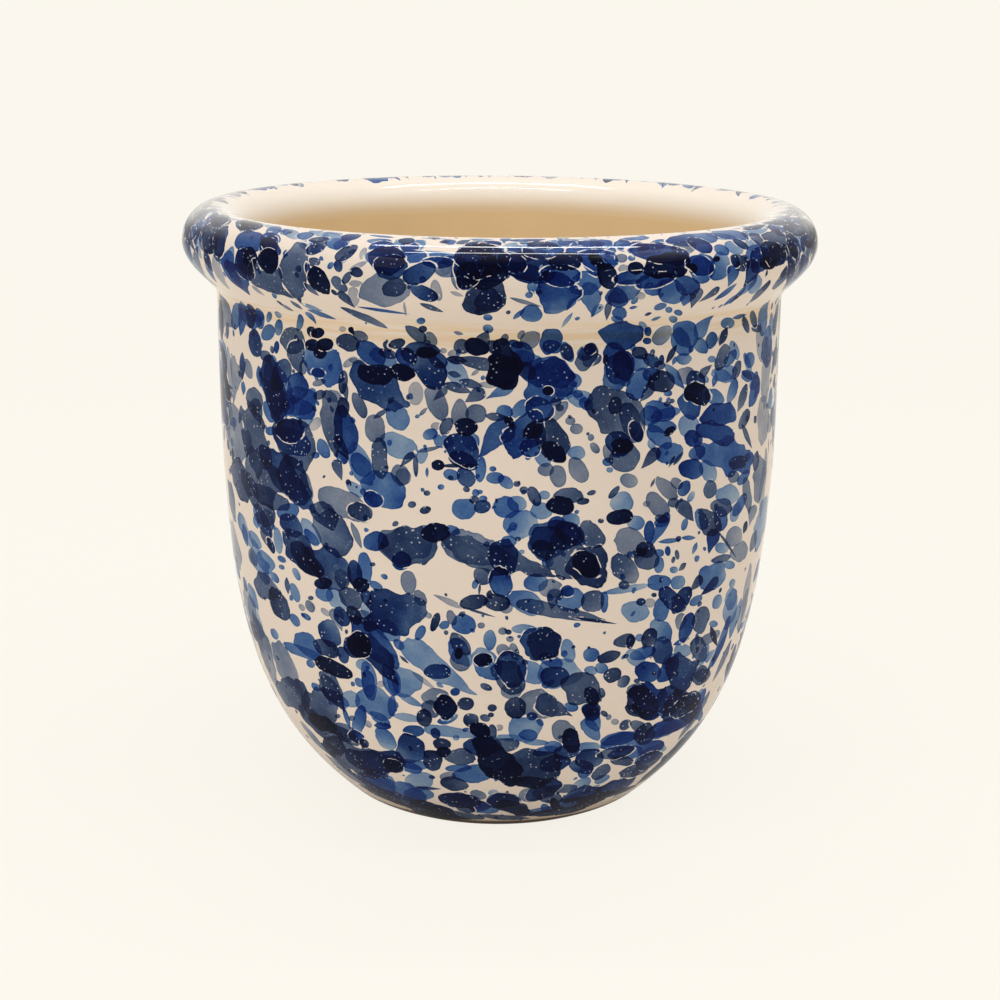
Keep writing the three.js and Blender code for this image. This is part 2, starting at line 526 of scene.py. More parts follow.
readDrops = {
    "oval": {
        "paleBlue": [
            (281, 232, 289, 231, 6), (312, 233, 326, 233, 8), (327, 243, 348, 243, 10),
            (328, 233, 342, 233, 5), (302, 241, 318, 245, 8), (404, 250, 422, 242, 12),
            (430, 255, 456, 262, 10), (500, 247, 528, 245, 7), (597, 243, 613, 245, 9),
            (598, 253, 614, 251, 9), (729, 243, 742, 252, 11), (750, 241, 758, 250, 11),
            (276, 312, 281, 317, 5), (312, 390, 304, 426, 14), (450, 364, 464, 384, 18),
            (353, 446, 368, 482, 20), (386, 440, 412, 453, 24), (348, 483, 364, 495, 10),
            (303, 520, 318, 543, 13), (250, 532, 260, 548, 8), (260, 552, 271, 570, 14),
            (294, 569, 300, 580, 6), (292, 583, 298, 602, 8), (330, 592, 344, 608, 14),
            (272, 629, 277, 638, 6), (358, 662, 368, 668, 10), (392, 656, 396, 668, 9),
            (343, 698, 357, 700, 14), (406, 780, 432, 782, 16), (422, 729, 478, 735, 10),
            (497, 737, 524, 739, 6), (524, 742, 548, 743, 6), (489, 793, 497, 792, 6),
            (578, 748, 598, 746, 9), (596, 782, 610, 776, 7), (572, 788, 590, 781, 8),
            (536, 454, 548, 464, 11), (558, 396, 572, 391, 11), (576, 393, 590, 400, 10),
            (424, 450, 420, 462, 10), (732, 342, 737, 357, 8), (718, 372, 730, 380, 12),
            (684, 418, 694, 432, 18), (704, 464, 714, 480, 16), (694, 492, 689, 501, 6),
            (738, 503, 734, 520, 8), (673, 586, 684, 580, 12), (720, 596, 714, 608, 8),
            (733, 590, 730, 609, 10), (628, 652, 642, 662, 14), (666, 666, 677, 657, 11),
            (586, 670, 596, 671, 8), (513, 629, 534, 629, 9), (566, 640, 570, 660, 14),
            (734, 580, 731, 587, 5), (760, 279, 752, 293, 9), (640, 322, 646, 330, 6),
            (705, 377, 707, 382, 5), (222, 214, 206, 220, 8), (266, 226, 284, 230, 8),
            (284, 231, 300, 236, 8), (300, 243, 322, 248, 12), (325, 236, 345, 244, 14),
            (335, 246, 350, 240, 8), (396, 246, 420, 243, 16), (395, 256, 460, 258, 12),
            (545, 243, 575, 241, 9), (577, 246, 607, 244, 14), (775, 212, 800, 212, 8),
            (745, 233, 770, 226, 8), (240, 216, 262, 219, 5), (425, 236, 445, 238, 5),
            (470, 239, 492, 240, 6), (560, 236, 590, 237, 4), (620, 248, 640, 244, 8),
            (720, 226, 745, 224, 4), (238, 510, 250, 545, 8), (252, 545, 266, 580, 14),
            (250, 600, 262, 640, 8), (555, 392, 575, 388, 10), (745, 354, 750, 372, 6),
            (715, 375, 735, 372, 14), (765, 500, 758, 550, 8), (705, 690, 690, 710, 8),
            (570, 395, 586, 405, 12), (277, 530, 280, 552, 8), (192, 232, 199, 215, 6),
            (792, 226, 800, 218, 6), (735, 594, 728, 622, 12), (708, 646, 700, 664, 8),
        ],
        "blue": [
            (224, 252, 232, 270, 14), (266, 234, 282, 227, 9), (298, 237, 313, 234, 7),
            (340, 262, 355, 250, 6), (333, 263, 329, 268, 5), (369, 248, 398, 248, 7),
            (368, 241, 392, 241, 5), (372, 236, 394, 234, 7), (402, 247, 417, 246, 9),
            (443, 241, 456, 242, 5), (500, 240, 518, 239, 5), (522, 242, 540, 240, 8),
            (559, 242, 579, 243, 8), (581, 243, 603, 244, 6), (398, 257, 424, 256, 12),
            (484, 317, 492, 318, 6), (574, 288, 598, 280, 20), (584, 258, 598, 272, 12),
            (591, 243, 600, 245, 7), (616, 244, 630, 244, 8), (650, 246, 668, 242, 9),
            (668, 240, 694, 237, 9), (606, 258, 617, 263, 7), (646, 289, 659, 290, 11),
            (632, 303, 637, 299, 5), (655, 309, 666, 305, 6), (675, 312, 682, 313, 6),
            (664, 286, 680, 300, 20), (674, 271, 684, 272, 7), (701, 256, 704, 277, 22),
            (722, 255, 720, 277, 18), (716, 247, 728, 252, 9), (792, 232, 799, 248, 9),
            (273, 292, 276, 298, 4), (236, 302, 238, 330, 10), (242, 302, 243, 334, 8),
            (257, 308, 262, 328, 9), (270, 312, 269, 321, 5), (279, 320, 279, 334, 8),
            (271, 326, 265, 339, 11), (301, 314, 300, 329, 6), (766, 304, 761, 335, 8),
            (612, 318, 622, 321, 6), (678, 326, 694, 340, 22), (284, 402, 312, 398, 26),
            (266, 402, 272, 420, 9), (308, 350, 334, 376, 28), (392, 406, 404, 428, 18),
            (320, 440, 327, 456, 10), (355, 456, 367, 473, 16), (368, 478, 398, 505, 32),
            (280, 512, 296, 512, 16), (364, 555, 365, 582, 15), (371, 583, 381, 588, 7),
            (279, 557, 285, 561, 5), (280, 566, 284, 568, 4), (272, 573, 278, 582, 6),
            (292, 615, 298, 625, 8), (303, 614, 310, 619, 5), (317, 590, 330, 598, 13),
            (296, 636, 318, 654, 18), (286, 645, 318, 658, 10), (308, 661, 313, 666, 6),
            (313, 684, 319, 690, 6), (356, 679, 362, 686, 7), (366, 672, 370, 696, 13),
            (386, 668, 394, 694, 14), (395, 640, 402, 648, 8), (364, 690, 386, 712, 26),
            (362, 708, 356, 734, 11), (373, 713, 388, 725, 9), (380, 732, 392, 746, 16),
            (394, 672, 398, 692, 8), (392, 697, 392, 714, 8), (366, 778, 394, 788, 20),
            (398, 763, 428, 766, 9), (404, 793, 434, 795, 10), (440, 722, 457, 716, 8),
            (446, 768, 470, 768, 7), (456, 774, 492, 774, 14), (521, 735, 536, 736, 10),
            (538, 720, 542, 725, 5), (566, 706, 577, 709, 9), (534, 754, 556, 749, 9),
            (543, 806, 548, 812, 8), (586, 722, 598, 738, 14), (602, 742, 632, 736, 12),
            (580, 776, 590, 768, 9), (654, 732, 680, 724, 14), (640, 750, 664, 744, 12),
            (516, 354, 540, 364, 14), (498, 411, 510, 412, 12), (514, 414, 528, 404, 14),
            (572, 376, 578, 384, 12), (582, 400, 590, 408, 10), (425, 436, 435, 432, 10),
            (436, 438, 450, 444, 12), (466, 436, 476, 446, 14), (482, 458, 480, 480, 10),
            (445, 473, 458, 477, 10), (488, 478, 502, 478, 11), (500, 478, 511, 486, 10),
            (678, 332, 684, 352, 18), (708, 392, 722, 402, 14), (736, 380, 729, 401, 8),
            (750, 353, 749, 366, 9), (758, 377, 752, 389, 8), (710, 448, 746, 466, 34),
            (738, 484, 748, 472, 8), (643, 416, 660, 416, 18), (655, 416, 678, 411, 10),
            (650, 428, 676, 426, 14), (650, 430, 668, 444, 16), (657, 524, 669, 520, 10),
            (687, 519, 683, 530, 6), (660, 560, 659, 572, 9), (700, 512, 704, 528, 12),
            (720, 508, 722, 528, 12), (706, 584, 722, 566, 22), (663, 600, 660, 618, 13),
            (691, 605, 701, 597, 7), (605, 594, 604, 611, 7), (656, 626, 668, 638, 18),
            (697, 634, 697, 645, 4), (564, 518, 578, 522, 12), (502, 542, 514, 541, 10),
            (446, 529, 458, 532, 8), (476, 580, 474, 588, 6), (512, 598, 540, 608, 20),
            (562, 608, 578, 592, 22), (441, 626, 448, 624, 7), (423, 627, 418, 638, 8),
            (542, 656, 560, 664, 12), (490, 632, 490, 648, 13), (476, 650, 498, 676, 22),
            (370, 247, 392, 244, 8), (510, 241, 545, 239, 7), (565, 252, 600, 250, 8),
            (668, 240, 715, 238, 14), (715, 232, 745, 236, 8), (748, 262, 765, 250, 20),
            (620, 240, 648, 238, 6), (640, 252, 665, 246, 10), (530, 250, 560, 250, 12),
            (470, 246, 500, 245, 8), (266, 362, 284, 412, 26), (285, 405, 312, 412, 18),
            (278, 436, 305, 448, 22), (255, 505, 270, 535, 10), (360, 775, 420, 800, 16),
            (470, 808, 500, 810, 8), (520, 814, 560, 808, 6), (690, 695, 700, 720, 12),
            (640, 762, 665, 745, 12), (325, 690, 345, 705, 10), (372, 352, 392, 362, 14),
            (563, 342, 572, 362, 12), (578, 356, 594, 350, 14), (648, 410, 672, 415, 20),
            (757, 375, 752, 405, 8), (735, 515, 745, 495, 8), (452, 640, 468, 665, 20),
            (725, 366, 735, 352, 8), (378, 622, 398, 638, 18), (585, 258, 615, 262, 18),
            (632, 396, 644, 370, 18), (262, 238, 280, 240, 14), (222, 250, 238, 288, 12),
            (782, 230, 800, 224, 8), (790, 232, 797, 254, 8), (630, 366, 648, 360, 16),
            (604, 746, 640, 738, 16), (610, 756, 640, 752, 12), (650, 734, 684, 722, 14),
            (640, 752, 664, 744, 12), (366, 662, 372, 700, 14), (781, 208, 803, 214, 8),
            (196, 228, 206, 210, 7), (590, 712, 598, 730, 14), (632, 656, 654, 650, 12),
            (656, 738, 690, 716, 11), (398, 764, 420, 770, 10), (696, 340, 706, 350, 13),
            (306, 530, 318, 545, 8), (744, 374, 750, 380, 9), (530, 284, 538, 292, 12),
            (240, 306, 258, 326, 14), (246, 312, 262, 318, 11), (546, 746, 560, 748, 11),
        ],
        "deepBlue": [
            (238, 242, 264, 241, 20), (343, 238, 360, 235, 7), (368, 258, 402, 258, 18),
            (480, 245, 500, 244, 7), (424, 262, 452, 263, 10), (502, 256, 522, 268, 16),
            (540, 296, 570, 298, 36), (545, 275, 575, 276, 18), (632, 244, 648, 248, 7),
            (636, 250, 690, 258, 18), (640, 284, 672, 276, 14), (617, 280, 646, 276, 12),
            (612, 300, 640, 286, 18), (690, 240, 712, 250, 12), (754, 262, 774, 254, 22),
            (648, 328, 648, 335, 6), (606, 336, 636, 334, 26), (277, 342, 277, 352, 5),
            (297, 377, 296, 400, 20), (284, 426, 298, 434, 22), (313, 372, 323, 374, 9),
            (361, 345, 380, 362, 18), (366, 496, 380, 503, 13), (366, 544, 386, 538, 17),
            (354, 622, 392, 664, 26), (376, 725, 390, 727, 6), (406, 730, 422, 732, 11),
            (350, 733, 362, 741, 10), (470, 806, 488, 806, 10), (401, 368, 411, 376, 14),
            (534, 394, 568, 368, 36), (556, 332, 547, 350, 24), (530, 408, 552, 414, 20),
            (586, 352, 595, 346, 10), (612, 384, 630, 352, 28), (686, 394, 694, 414, 20),
            (744, 372, 754, 378, 8), (704, 418, 732, 412, 22), (704, 428, 730, 438, 22),
            (688, 438, 700, 440, 14), (748, 454, 747, 460, 5), (692, 456, 703, 450, 12),
            (688, 482, 682, 495, 12), (613, 453, 622, 452, 9), (650, 522, 649, 541, 10),
            (668, 547, 668, 555, 5), (690, 614, 684, 640, 12), (640, 668, 658, 676, 18),
            (494, 574, 508, 592, 22), (500, 252, 530, 256, 14), (690, 262, 712, 268, 18),
            (400, 352, 412, 362, 16), (515, 345, 530, 360, 20), (545, 345, 560, 348, 14),
            (530, 375, 572, 372, 30), (612, 345, 625, 380, 30), (395, 562, 410, 560, 16),
            (512, 448, 538, 422, 30), (524, 446, 536, 452, 16), (638, 700, 664, 702, 34),
            (660, 682, 676, 660, 14), (342, 412, 350, 452, 20), (710, 346, 714, 333, 11),
            (680, 283, 697, 291, 17), (338, 452, 346, 462, 9),
        ],
        "navy": [
            (240, 254, 247, 277, 15), (274, 238, 264, 256, 18), (338, 262, 339, 271, 8),
            (307, 264, 309, 274, 5), (470, 252, 464, 286, 24), (460, 249, 500, 249, 9),
            (503, 262, 550, 274, 26), (590, 256, 606, 266, 10), (735, 240, 748, 248, 6),
            (734, 256, 738, 266, 8), (250, 305, 253, 325, 9), (254, 333, 257, 356, 12),
            (284, 362, 280, 388, 18), (316, 552, 342, 582, 32), (353, 560, 357, 586, 14),
            (338, 611, 346, 624, 12), (364, 590, 368, 604, 9), (341, 648, 346, 662, 10),
            (402, 742, 418, 758, 26), (346, 756, 400, 768, 24), (433, 730, 438, 737, 8),
            (468, 748, 500, 746, 18), (540, 766, 568, 762, 14), (556, 755, 578, 750, 12),
            (422, 806, 452, 811, 6), (584, 712, 599, 708, 12), (578, 760, 600, 758, 17),
            (598, 794, 632, 781, 12), (404, 350, 414, 360, 12), (432, 354, 444, 364, 14),
            (452, 440, 474, 462, 26), (460, 470, 470, 484, 16), (510, 342, 522, 346, 7),
            (644, 356, 658, 364, 12), (662, 356, 661, 364, 5), (662, 590, 684, 610, 16),
            (676, 610, 688, 590, 16), (664, 640, 660, 660, 17), (688, 660, 676, 690, 24),
            (534, 536, 574, 536, 28), (560, 528, 580, 540, 20), (496, 544, 508, 568, 26),
            (522, 640, 560, 644, 30), (425, 672, 449, 672, 14), (506, 654, 516, 682, 24),
            (226, 226, 216, 252, 12), (372, 258, 402, 262, 26), (768, 246, 782, 262, 20),
            (462, 256, 500, 262, 30), (790, 240, 797, 256, 8), (285, 460, 305, 500, 22),
            (325, 625, 335, 645, 18), (440, 800, 478, 802, 14), (488, 802, 518, 800, 14),
            (530, 795, 560, 785, 16), (560, 806, 600, 790, 14), (268, 538, 274, 552, 6),
            (610, 440, 628, 448, 20), (535, 540, 560, 545, 30), (358, 640, 352, 652, 24),
            (354, 374, 398, 400, 32), (420, 354, 440, 384, 26), (414, 289, 436, 298, 13),
            (378, 268, 405, 266, 22), (406, 277, 434, 268, 18), (266, 360, 281, 416, 20),
            (622, 354, 626, 378, 20), (236, 229, 262, 222, 9), (241, 250, 246, 272, 12),
            (766, 258, 786, 248, 16), (288, 528, 314, 574, 24), (284, 516, 300, 534, 18),
            (690, 376, 702, 388, 18), (672, 690, 664, 710, 22), (684, 694, 668, 716, 16),
            (640, 742, 654, 732, 12), (634, 424, 640, 440, 12), (584, 708, 598, 716, 14),
            (268, 366, 280, 412, 16), (506, 268, 542, 276, 15), (406, 348, 440, 350, 13),
            (478, 303, 500, 300, 22), (264, 240, 278, 252, 14), (374, 612, 416, 616, 40),
            (640, 714, 658, 716, 10), (572, 765, 590, 769, 12), (452, 457, 476, 466, 16),
        ],
        "paleGrey": [
            (361, 258, 366, 248, 6), (350, 270, 366, 262, 5), (350, 283, 362, 284, 6),
            (353, 290, 354, 306, 11), (437, 270, 450, 266, 14), (434, 282, 439, 300, 10),
            (312, 429, 319, 419, 9), (344, 366, 356, 358, 7), (350, 360, 364, 362, 5),
            (300, 605, 304, 610, 5), (322, 609, 329, 615, 5), (366, 722, 371, 726, 5),
            (441, 350, 446, 351, 5), (449, 354, 458, 352, 6), (415, 384, 416, 402, 14),
            (432, 426, 440, 426, 7), (426, 615, 431, 616, 5), (768, 340, 765, 400, 8),
            (765, 400, 762, 445, 10), (760, 330, 765, 365, 10), (748, 590, 738, 632, 5),
        ],
        "grey": [
            # the grey ovals at (522, 256) and (674, 250) are painted highlights: glints on dark drops of
            # the rim
            (209, 224, 233, 217, 14), (454, 270, 458, 288, 9), (522, 256, 548, 258, 14),
            (674, 250, 696, 246, 14), (745, 256, 747, 268, 9), (428, 334, 434, 346, 13),
            (668, 328, 656, 344, 14), (247, 360, 251, 378, 7), (304, 362, 303, 373, 7),
            (314, 384, 324, 381, 6), (232, 410, 240, 460, 18), (304, 474, 310, 500, 11),
            (374, 416, 376, 440, 18), (324, 394, 340, 398, 10), (317, 490, 364, 513, 22),
            (399, 466, 402, 482, 16), (251, 549, 255, 565, 7), (307, 602, 313, 611, 8),
            (358, 613, 370, 620, 12), (422, 697, 448, 697, 14), (441, 777, 454, 776, 8),
            (472, 793, 486, 797, 8), (520, 794, 540, 796, 12), (607, 719, 611, 716, 5),
            (522, 344, 537, 336, 16), (523, 331, 519, 338, 6), (432, 390, 442, 416, 19),
            (460, 401, 459, 426, 16), (550, 420, 566, 404, 12), (556, 468, 560, 484, 15),
            (573, 460, 583, 478, 16), (402, 470, 404, 482, 14), (681, 373, 694, 380, 15),
            (730, 478, 738, 476, 11), (660, 481, 676, 498, 14), (673, 480, 681, 487, 10),
            (650, 497, 666, 514, 16), (606, 446, 610, 462, 9), (589, 437, 593, 438, 6),
            (592, 444, 598, 452, 7), (622, 534, 640, 550, 24), (738, 529, 731, 544, 14),
            (683, 614, 679, 628, 10), (704, 642, 720, 632, 9), (408, 572, 409, 592, 14),
            (416, 592, 424, 603, 10), (449, 612, 454, 624, 8), (478, 626, 484, 625, 6),
            (502, 610, 511, 606, 10), (542, 588, 560, 590, 16), (456, 652, 464, 670, 18),
            (498, 648, 508, 652, 12), (512, 644, 516, 658, 9), (255, 620, 275, 680, 10),
            (762, 455, 758, 500, 10), (745, 545, 735, 560, 14), (522, 704, 556, 706, 24),
            (440, 270, 462, 262, 20), (556, 736, 570, 728, 20), (364, 294, 404, 290, 30),
            (392, 540, 424, 550, 36), (445, 546, 500, 554, 28), (746, 480, 750, 512, 8),
        ],
        "slate": [
            (204, 228, 207, 252, 12), (222, 230, 216, 255, 15), (233, 227, 256, 221, 9),
            (293, 246, 294, 298, 24), (310, 240, 327, 239, 5), (308, 252, 324, 243, 11),
            (338, 257, 357, 246, 11), (309, 262, 319, 262, 9), (333, 279, 345, 290, 10),
            (344, 283, 350, 273, 7), (400, 241, 414, 240, 6), (466, 245, 483, 243, 5),
            (530, 244, 556, 245, 6), (752, 234, 766, 244, 8), (776, 234, 786, 260, 24),
            (736, 258, 748, 268, 14), (753, 312, 755, 326, 6), (753, 328, 761, 329, 7),
            (744, 318, 748, 332, 6), (726, 330, 720, 343, 7), (408, 328, 426, 341, 11),
            (291, 331, 291, 352, 22), (263, 352, 268, 360, 9), (253, 388, 258, 410, 15),
            (248, 408, 262, 470, 24), (284, 426, 306, 462, 34), (250, 455, 272, 500, 26),
            (355, 334, 366, 338, 9), (380, 352, 396, 356, 8), (344, 372, 343, 392, 8),
            (354, 393, 365, 417, 11), (315, 397, 324, 393, 8), (377, 442, 381, 474, 17),
            (352, 508, 370, 514, 14), (262, 506, 270, 524, 16), (318, 520, 346, 548, 30),
            (315, 506, 333, 524, 18), (390, 536, 428, 556, 40), (340, 572, 345, 586, 12),
            (256, 576, 272, 598, 18), (343, 592, 360, 604, 16), (327, 672, 336, 698, 17),
            (282, 682, 304, 708, 20), (310, 694, 330, 724, 26), (338, 724, 352, 740, 14),
            (425, 704, 436, 714, 14), (481, 717, 489, 719, 7), (492, 726, 493, 737, 8),
            (446, 756, 472, 758, 15), (440, 799, 470, 799, 12), (496, 746, 516, 744, 14),
            (548, 790, 576, 788, 8), (538, 794, 560, 798, 14), (490, 800, 518, 802, 16),
            (456, 806, 474, 810, 8), (602, 756, 630, 750, 11), (612, 760, 632, 762, 10),
            (594, 778, 610, 767, 11), (621, 728, 630, 722, 9), (632, 724, 644, 728, 10),
            (681, 706, 698, 696, 14), (684, 718, 694, 708, 15), (640, 768, 660, 754, 12),
            (632, 776, 640, 769, 6), (602, 712, 607, 716, 5), (601, 689, 603, 696, 6),
            (456, 345, 468, 348, 14), (506, 335, 503, 344, 7), (521, 366, 532, 376, 14),
            (564, 344, 570, 360, 14), (578, 366, 596, 348, 18), (442, 432, 450, 420, 10),
            (415, 456, 416, 476, 5), (464, 489, 469, 490, 5), (409, 505, 415, 504, 6),
            (531, 488, 538, 504, 11), (556, 496, 580, 496, 14), (585, 362, 600, 357, 13),
            (726, 348, 719, 369, 11), (748, 412, 741, 427, 8), (732, 466, 744, 460, 13),
            (614, 456, 636, 458, 28), (619, 487, 610, 498, 6), (588, 494, 595, 492, 4),
            (657, 518, 668, 520, 8), (644, 552, 650, 568, 20), (614, 560, 634, 578, 22),
            (704, 512, 716, 532, 18), (713, 561, 730, 557, 7), (677, 551, 678, 559, 4),
            (706, 609, 697, 630, 14), (618, 642, 634, 640, 12), (694, 640, 702, 658, 16),
            (694, 682, 710, 671, 12), (620, 685, 628, 678, 9), (558, 544, 580, 572, 36),
            (586, 526, 597, 546, 22), (476, 572, 488, 580, 17), (452, 636, 468, 654, 16),
            (481, 685, 491, 689, 6), (586, 596, 598, 606, 20), (670, 503, 678, 503, 9),
            (216, 222, 206, 248, 16), (745, 228, 765, 226, 6), (236, 462, 246, 500, 16),
            (300, 705, 340, 745, 16), (330, 745, 390, 775, 26), (440, 812, 480, 818, 6),
            (620, 775, 650, 768, 10), (500, 665, 518, 690, 24), (530, 640, 560, 645, 30),
            (800, 228, 806, 250, 5), (388, 292, 402, 284, 18), (706, 668, 698, 680, 12),
            (626, 405, 634, 432, 18), (630, 692, 645, 688, 12), (786, 226, 804, 232, 11),
            (212, 222, 228, 219, 8), (568, 690, 597, 691, 32), (256, 488, 284, 506, 16),
            (602, 399, 638, 434, 40), (676, 714, 694, 698, 13), (708, 489, 714, 490, 17),
            (244, 470, 256, 505, 11), (332, 726, 360, 746, 11), (328, 398, 336, 450, 18),
        ],
        "charcoal": [
            (352, 270, 362, 274, 9), (340, 341, 357, 345, 15), (385, 343, 390, 350, 6),
            (391, 345, 404, 342, 9), (343, 400, 344, 416, 11), (270, 592, 286, 616, 16),
            (351, 608, 358, 622, 12), (315, 643, 338, 653, 14), (326, 738, 342, 754, 16),
            (361, 741, 368, 746, 7), (424, 712, 424, 725, 14), (459, 704, 472, 704, 12),
            (464, 720, 478, 722, 14), (435, 744, 450, 745, 12), (430, 754, 436, 768, 18),
            (442, 782, 464, 786, 12), (506, 770, 556, 768, 32), (508, 704, 522, 710, 18),
            (500, 808, 530, 811, 9), (638, 738, 650, 726, 12), (488, 344, 500, 352, 12),
            (546, 424, 562, 458, 30), (578, 502, 588, 501, 6), (421, 511, 430, 509, 7),
            (606, 355, 605, 364, 5), (634, 350, 646, 356, 12), (617, 399, 613, 413, 12),
            (640, 548, 652, 552, 14), (653, 632, 645, 645, 13), (632, 636, 629, 648, 8),
            (600, 660, 620, 653, 10), (605, 678, 619, 671, 14), (463, 602, 484, 601, 14),
            (487, 603, 508, 603, 15), (489, 592, 492, 596, 8), (438, 614, 433, 629, 7),
            (506, 632, 511, 632, 5), (536, 546, 552, 552, 16), (238, 227, 268, 222, 9),
            (410, 805, 450, 815, 12), (500, 805, 530, 812, 12), (530, 816, 585, 808, 6),
            (570, 806, 640, 785, 6), (634, 704, 652, 702, 30), (294, 544, 316, 576, 16),
            (470, 300, 504, 296, 40), (628, 708, 642, 714, 11), (386, 764, 402, 770, 11),
            (578, 554, 600, 578, 36),
        ],
        "ink": [
            (251, 250, 251, 265, 13), (268, 250, 268, 268, 18), (312, 270, 325, 290, 17),
            (468, 266, 462, 286, 18), (490, 256, 492, 274, 20), (474, 284, 504, 272, 20),
            (553, 262, 579, 262, 16), (650, 268, 690, 262, 24), (604, 266, 612, 288, 16),
            (693, 264, 694, 272, 8), (361, 374, 388, 376, 19), (393, 372, 412, 375, 15),
            (316, 584, 330, 583, 10), (355, 585, 366, 585, 14), (350, 640, 368, 652, 20),
            (319, 661, 350, 676, 14), (312, 716, 334, 730, 14), (440, 700, 452, 714, 20),
            (470, 726, 488, 732, 14), (438, 752, 450, 752, 10), (484, 750, 520, 786, 28),
            (512, 782, 544, 782, 12), (553, 800, 556, 808, 8), (590, 690, 594, 704, 14),
            (418, 352, 436, 352, 11), (467, 344, 487, 350, 18), (500, 346, 508, 384, 30),
            (488, 358, 516, 364, 14), (526, 434, 540, 426, 14), (546, 446, 564, 460, 16),
            (549, 504, 572, 508, 18), (688, 388, 708, 398, 22), (665, 435, 674, 427, 7),
            (614, 445, 632, 447, 13), (609, 519, 631, 516, 14), (424, 534, 446, 532, 15),
            (459, 649, 458, 658, 8), (476, 660, 489, 659, 11), (576, 556, 598, 572, 22),
            (637, 552, 645, 552, 8), (310, 328, 314, 336, 9), (500, 362, 505, 382, 28),
            (569, 733, 574, 750, 16),
        ],
    },
    "tear": {
        "paleBlue": [
            (600, 306, 592, 317, 9), (364, 605, 376, 624, 12), (706, 660, 715, 650, 6),
            (404, 644, 476, 697, 24), (650, 440, 655, 452, 8),
        ],
        "blue": [
            (574, 300, 567, 310, 6), (590, 292, 594, 316, 18), (690, 296, 684, 306, 12),
            (736, 268, 730, 287, 10), (695, 336, 712, 316, 14), (512, 386, 488, 398, 12),
            (668, 516, 652, 545, 12), (307, 312, 317, 323, 5),
        ],
        "deepBlue": [
            (230, 265, 247, 295, 14), (716, 533, 710, 551, 12), (506, 426, 480, 455, 22),
        ],
        "navy": [
            (757, 262, 745, 287, 12), (366, 640, 398, 684, 22), (337, 440, 348, 458, 12),
            (718, 579, 702, 595, 8), (266, 450, 312, 512, 26),
        ],
        "grey": [
            (236, 360, 234, 400, 11), (335, 610, 342, 630, 12), (754, 505, 750, 524, 8),
            (274, 648, 304, 700, 16),
        ],
        "slate": [
            (254, 268, 289, 297, 24), (340, 293, 355, 308, 7), (480, 346, 487, 332, 16),
            (609, 304, 607, 320, 7), (720, 289, 700, 302, 6), (293, 345, 301, 371, 18),
            (255, 400, 262, 423, 12), (345, 385, 347, 402, 6), (336, 462, 342, 479, 9),
            (266, 512, 271, 536, 11), (264, 528, 272, 553, 10), (540, 702, 569, 714, 20),
            (492, 366, 452, 358, 14), (482, 392, 467, 401, 12), (446, 389, 434, 400, 8),
            (412, 454, 400, 467, 8), (652, 386, 641, 400, 10), (700, 376, 711, 366, 8),
            (658, 449, 643, 467, 11), (680, 502, 694, 520, 14), (432, 542, 576, 582, 30),
            (520, 604, 617, 624, 14), (556, 592, 552, 608, 14), (702, 577, 691, 591, 8),
            (325, 680, 345, 712, 14), (698, 292, 692, 308, 10),
        ],
        "ink": [
            (350, 328, 354, 334, 5), (508, 419, 513, 429, 8), (592, 256, 606, 270, 10),
        ],
    },
    "spindle": {
        "paleBlue": [
            (302, 304, 322, 311, 4), (708, 235, 735, 237, 6), (572, 313, 562, 327, 4),
            (255, 516, 258, 528, 5), (249, 585, 258, 608, 7), (394, 716, 424, 720, 8),
            (398, 694, 422, 706, 7), (437, 683, 443, 687, 4), (604, 593, 652, 585, 7),
            (772, 220, 800, 218, 6), (205, 206, 230, 204, 5), (196, 232, 200, 258, 5),
            (188, 252, 200, 276, 5), (222, 330, 226, 380, 5), (705, 690, 690, 725, 6),
            (560, 802, 600, 786, 5), (742, 598, 730, 638, 6),
        ],
        "blue": [
            (203, 253, 214, 282, 5), (358, 307, 408, 314, 3), (308, 310, 336, 319, 4),
            (514, 319, 524, 309, 5), (630, 308, 637, 307, 3), (652, 320, 661, 317, 3),
            (746, 287, 730, 305, 4), (734, 318, 746, 315, 4), (244, 382, 244, 394, 4),
            (259, 366, 261, 386, 6), (243, 522, 248, 548, 6), (344, 708, 350, 728, 5),
            (427, 468, 427, 477, 3), (676, 357, 673, 364, 4), (666, 365, 684, 389, 10),
            (716, 375, 713, 386, 5), (760, 382, 754, 398, 5), (660, 542, 682, 540, 5),
            (683, 538, 695, 538, 5), (697, 543, 693, 554, 4), (675, 644, 690, 638, 5),
            (731, 617, 725, 629, 6), (730, 618, 712, 668, 6), (770, 228, 790, 222, 8),
            (800, 215, 808, 250, 6), (795, 262, 788, 286, 6), (806, 262, 790, 292, 5),
            (758, 276, 740, 298, 6), (192, 206, 186, 236, 5), (200, 218, 194, 244, 6),
            (186, 240, 190, 262, 5), (716, 300, 738, 284, 5), (724, 306, 746, 290, 4),
            (198, 224, 228, 209, 6), (768, 226, 796, 212, 7), (200, 240, 206, 222, 5),
            (728, 632, 706, 674, 5), (772, 214, 796, 206, 5), (206, 220, 228, 206, 5),
            (772, 219, 802, 222, 4), (203, 224, 219, 212, 6), (240, 190, 252, 193, 3),
        ],
        "navy": [
            (645, 315, 652, 313, 3), (793, 246, 796, 268, 8), (243, 353, 243, 378, 5),
            (416, 787, 440, 789, 3),
        ],
        "paleGrey": [
            (211, 257, 226, 289, 8), (252, 286, 265, 296, 3), (451, 292, 463, 296, 4),
            (404, 302, 406, 316, 2.5), (480, 384, 497, 386, 6), (472, 375, 480, 369, 4),
            (436, 596, 466, 609, 6), (412, 672, 436, 690, 5), (224, 380, 230, 440, 6),
            (228, 345, 232, 395, 5), (230, 520, 240, 570, 6), (243, 585, 262, 650, 8),
            (766, 450, 760, 520, 5), (752, 560, 742, 620, 5),
        ],
        "grey": [
            (279, 303, 294, 311, 3), (510, 298, 542, 307, 4), (223, 297, 225, 326, 10),
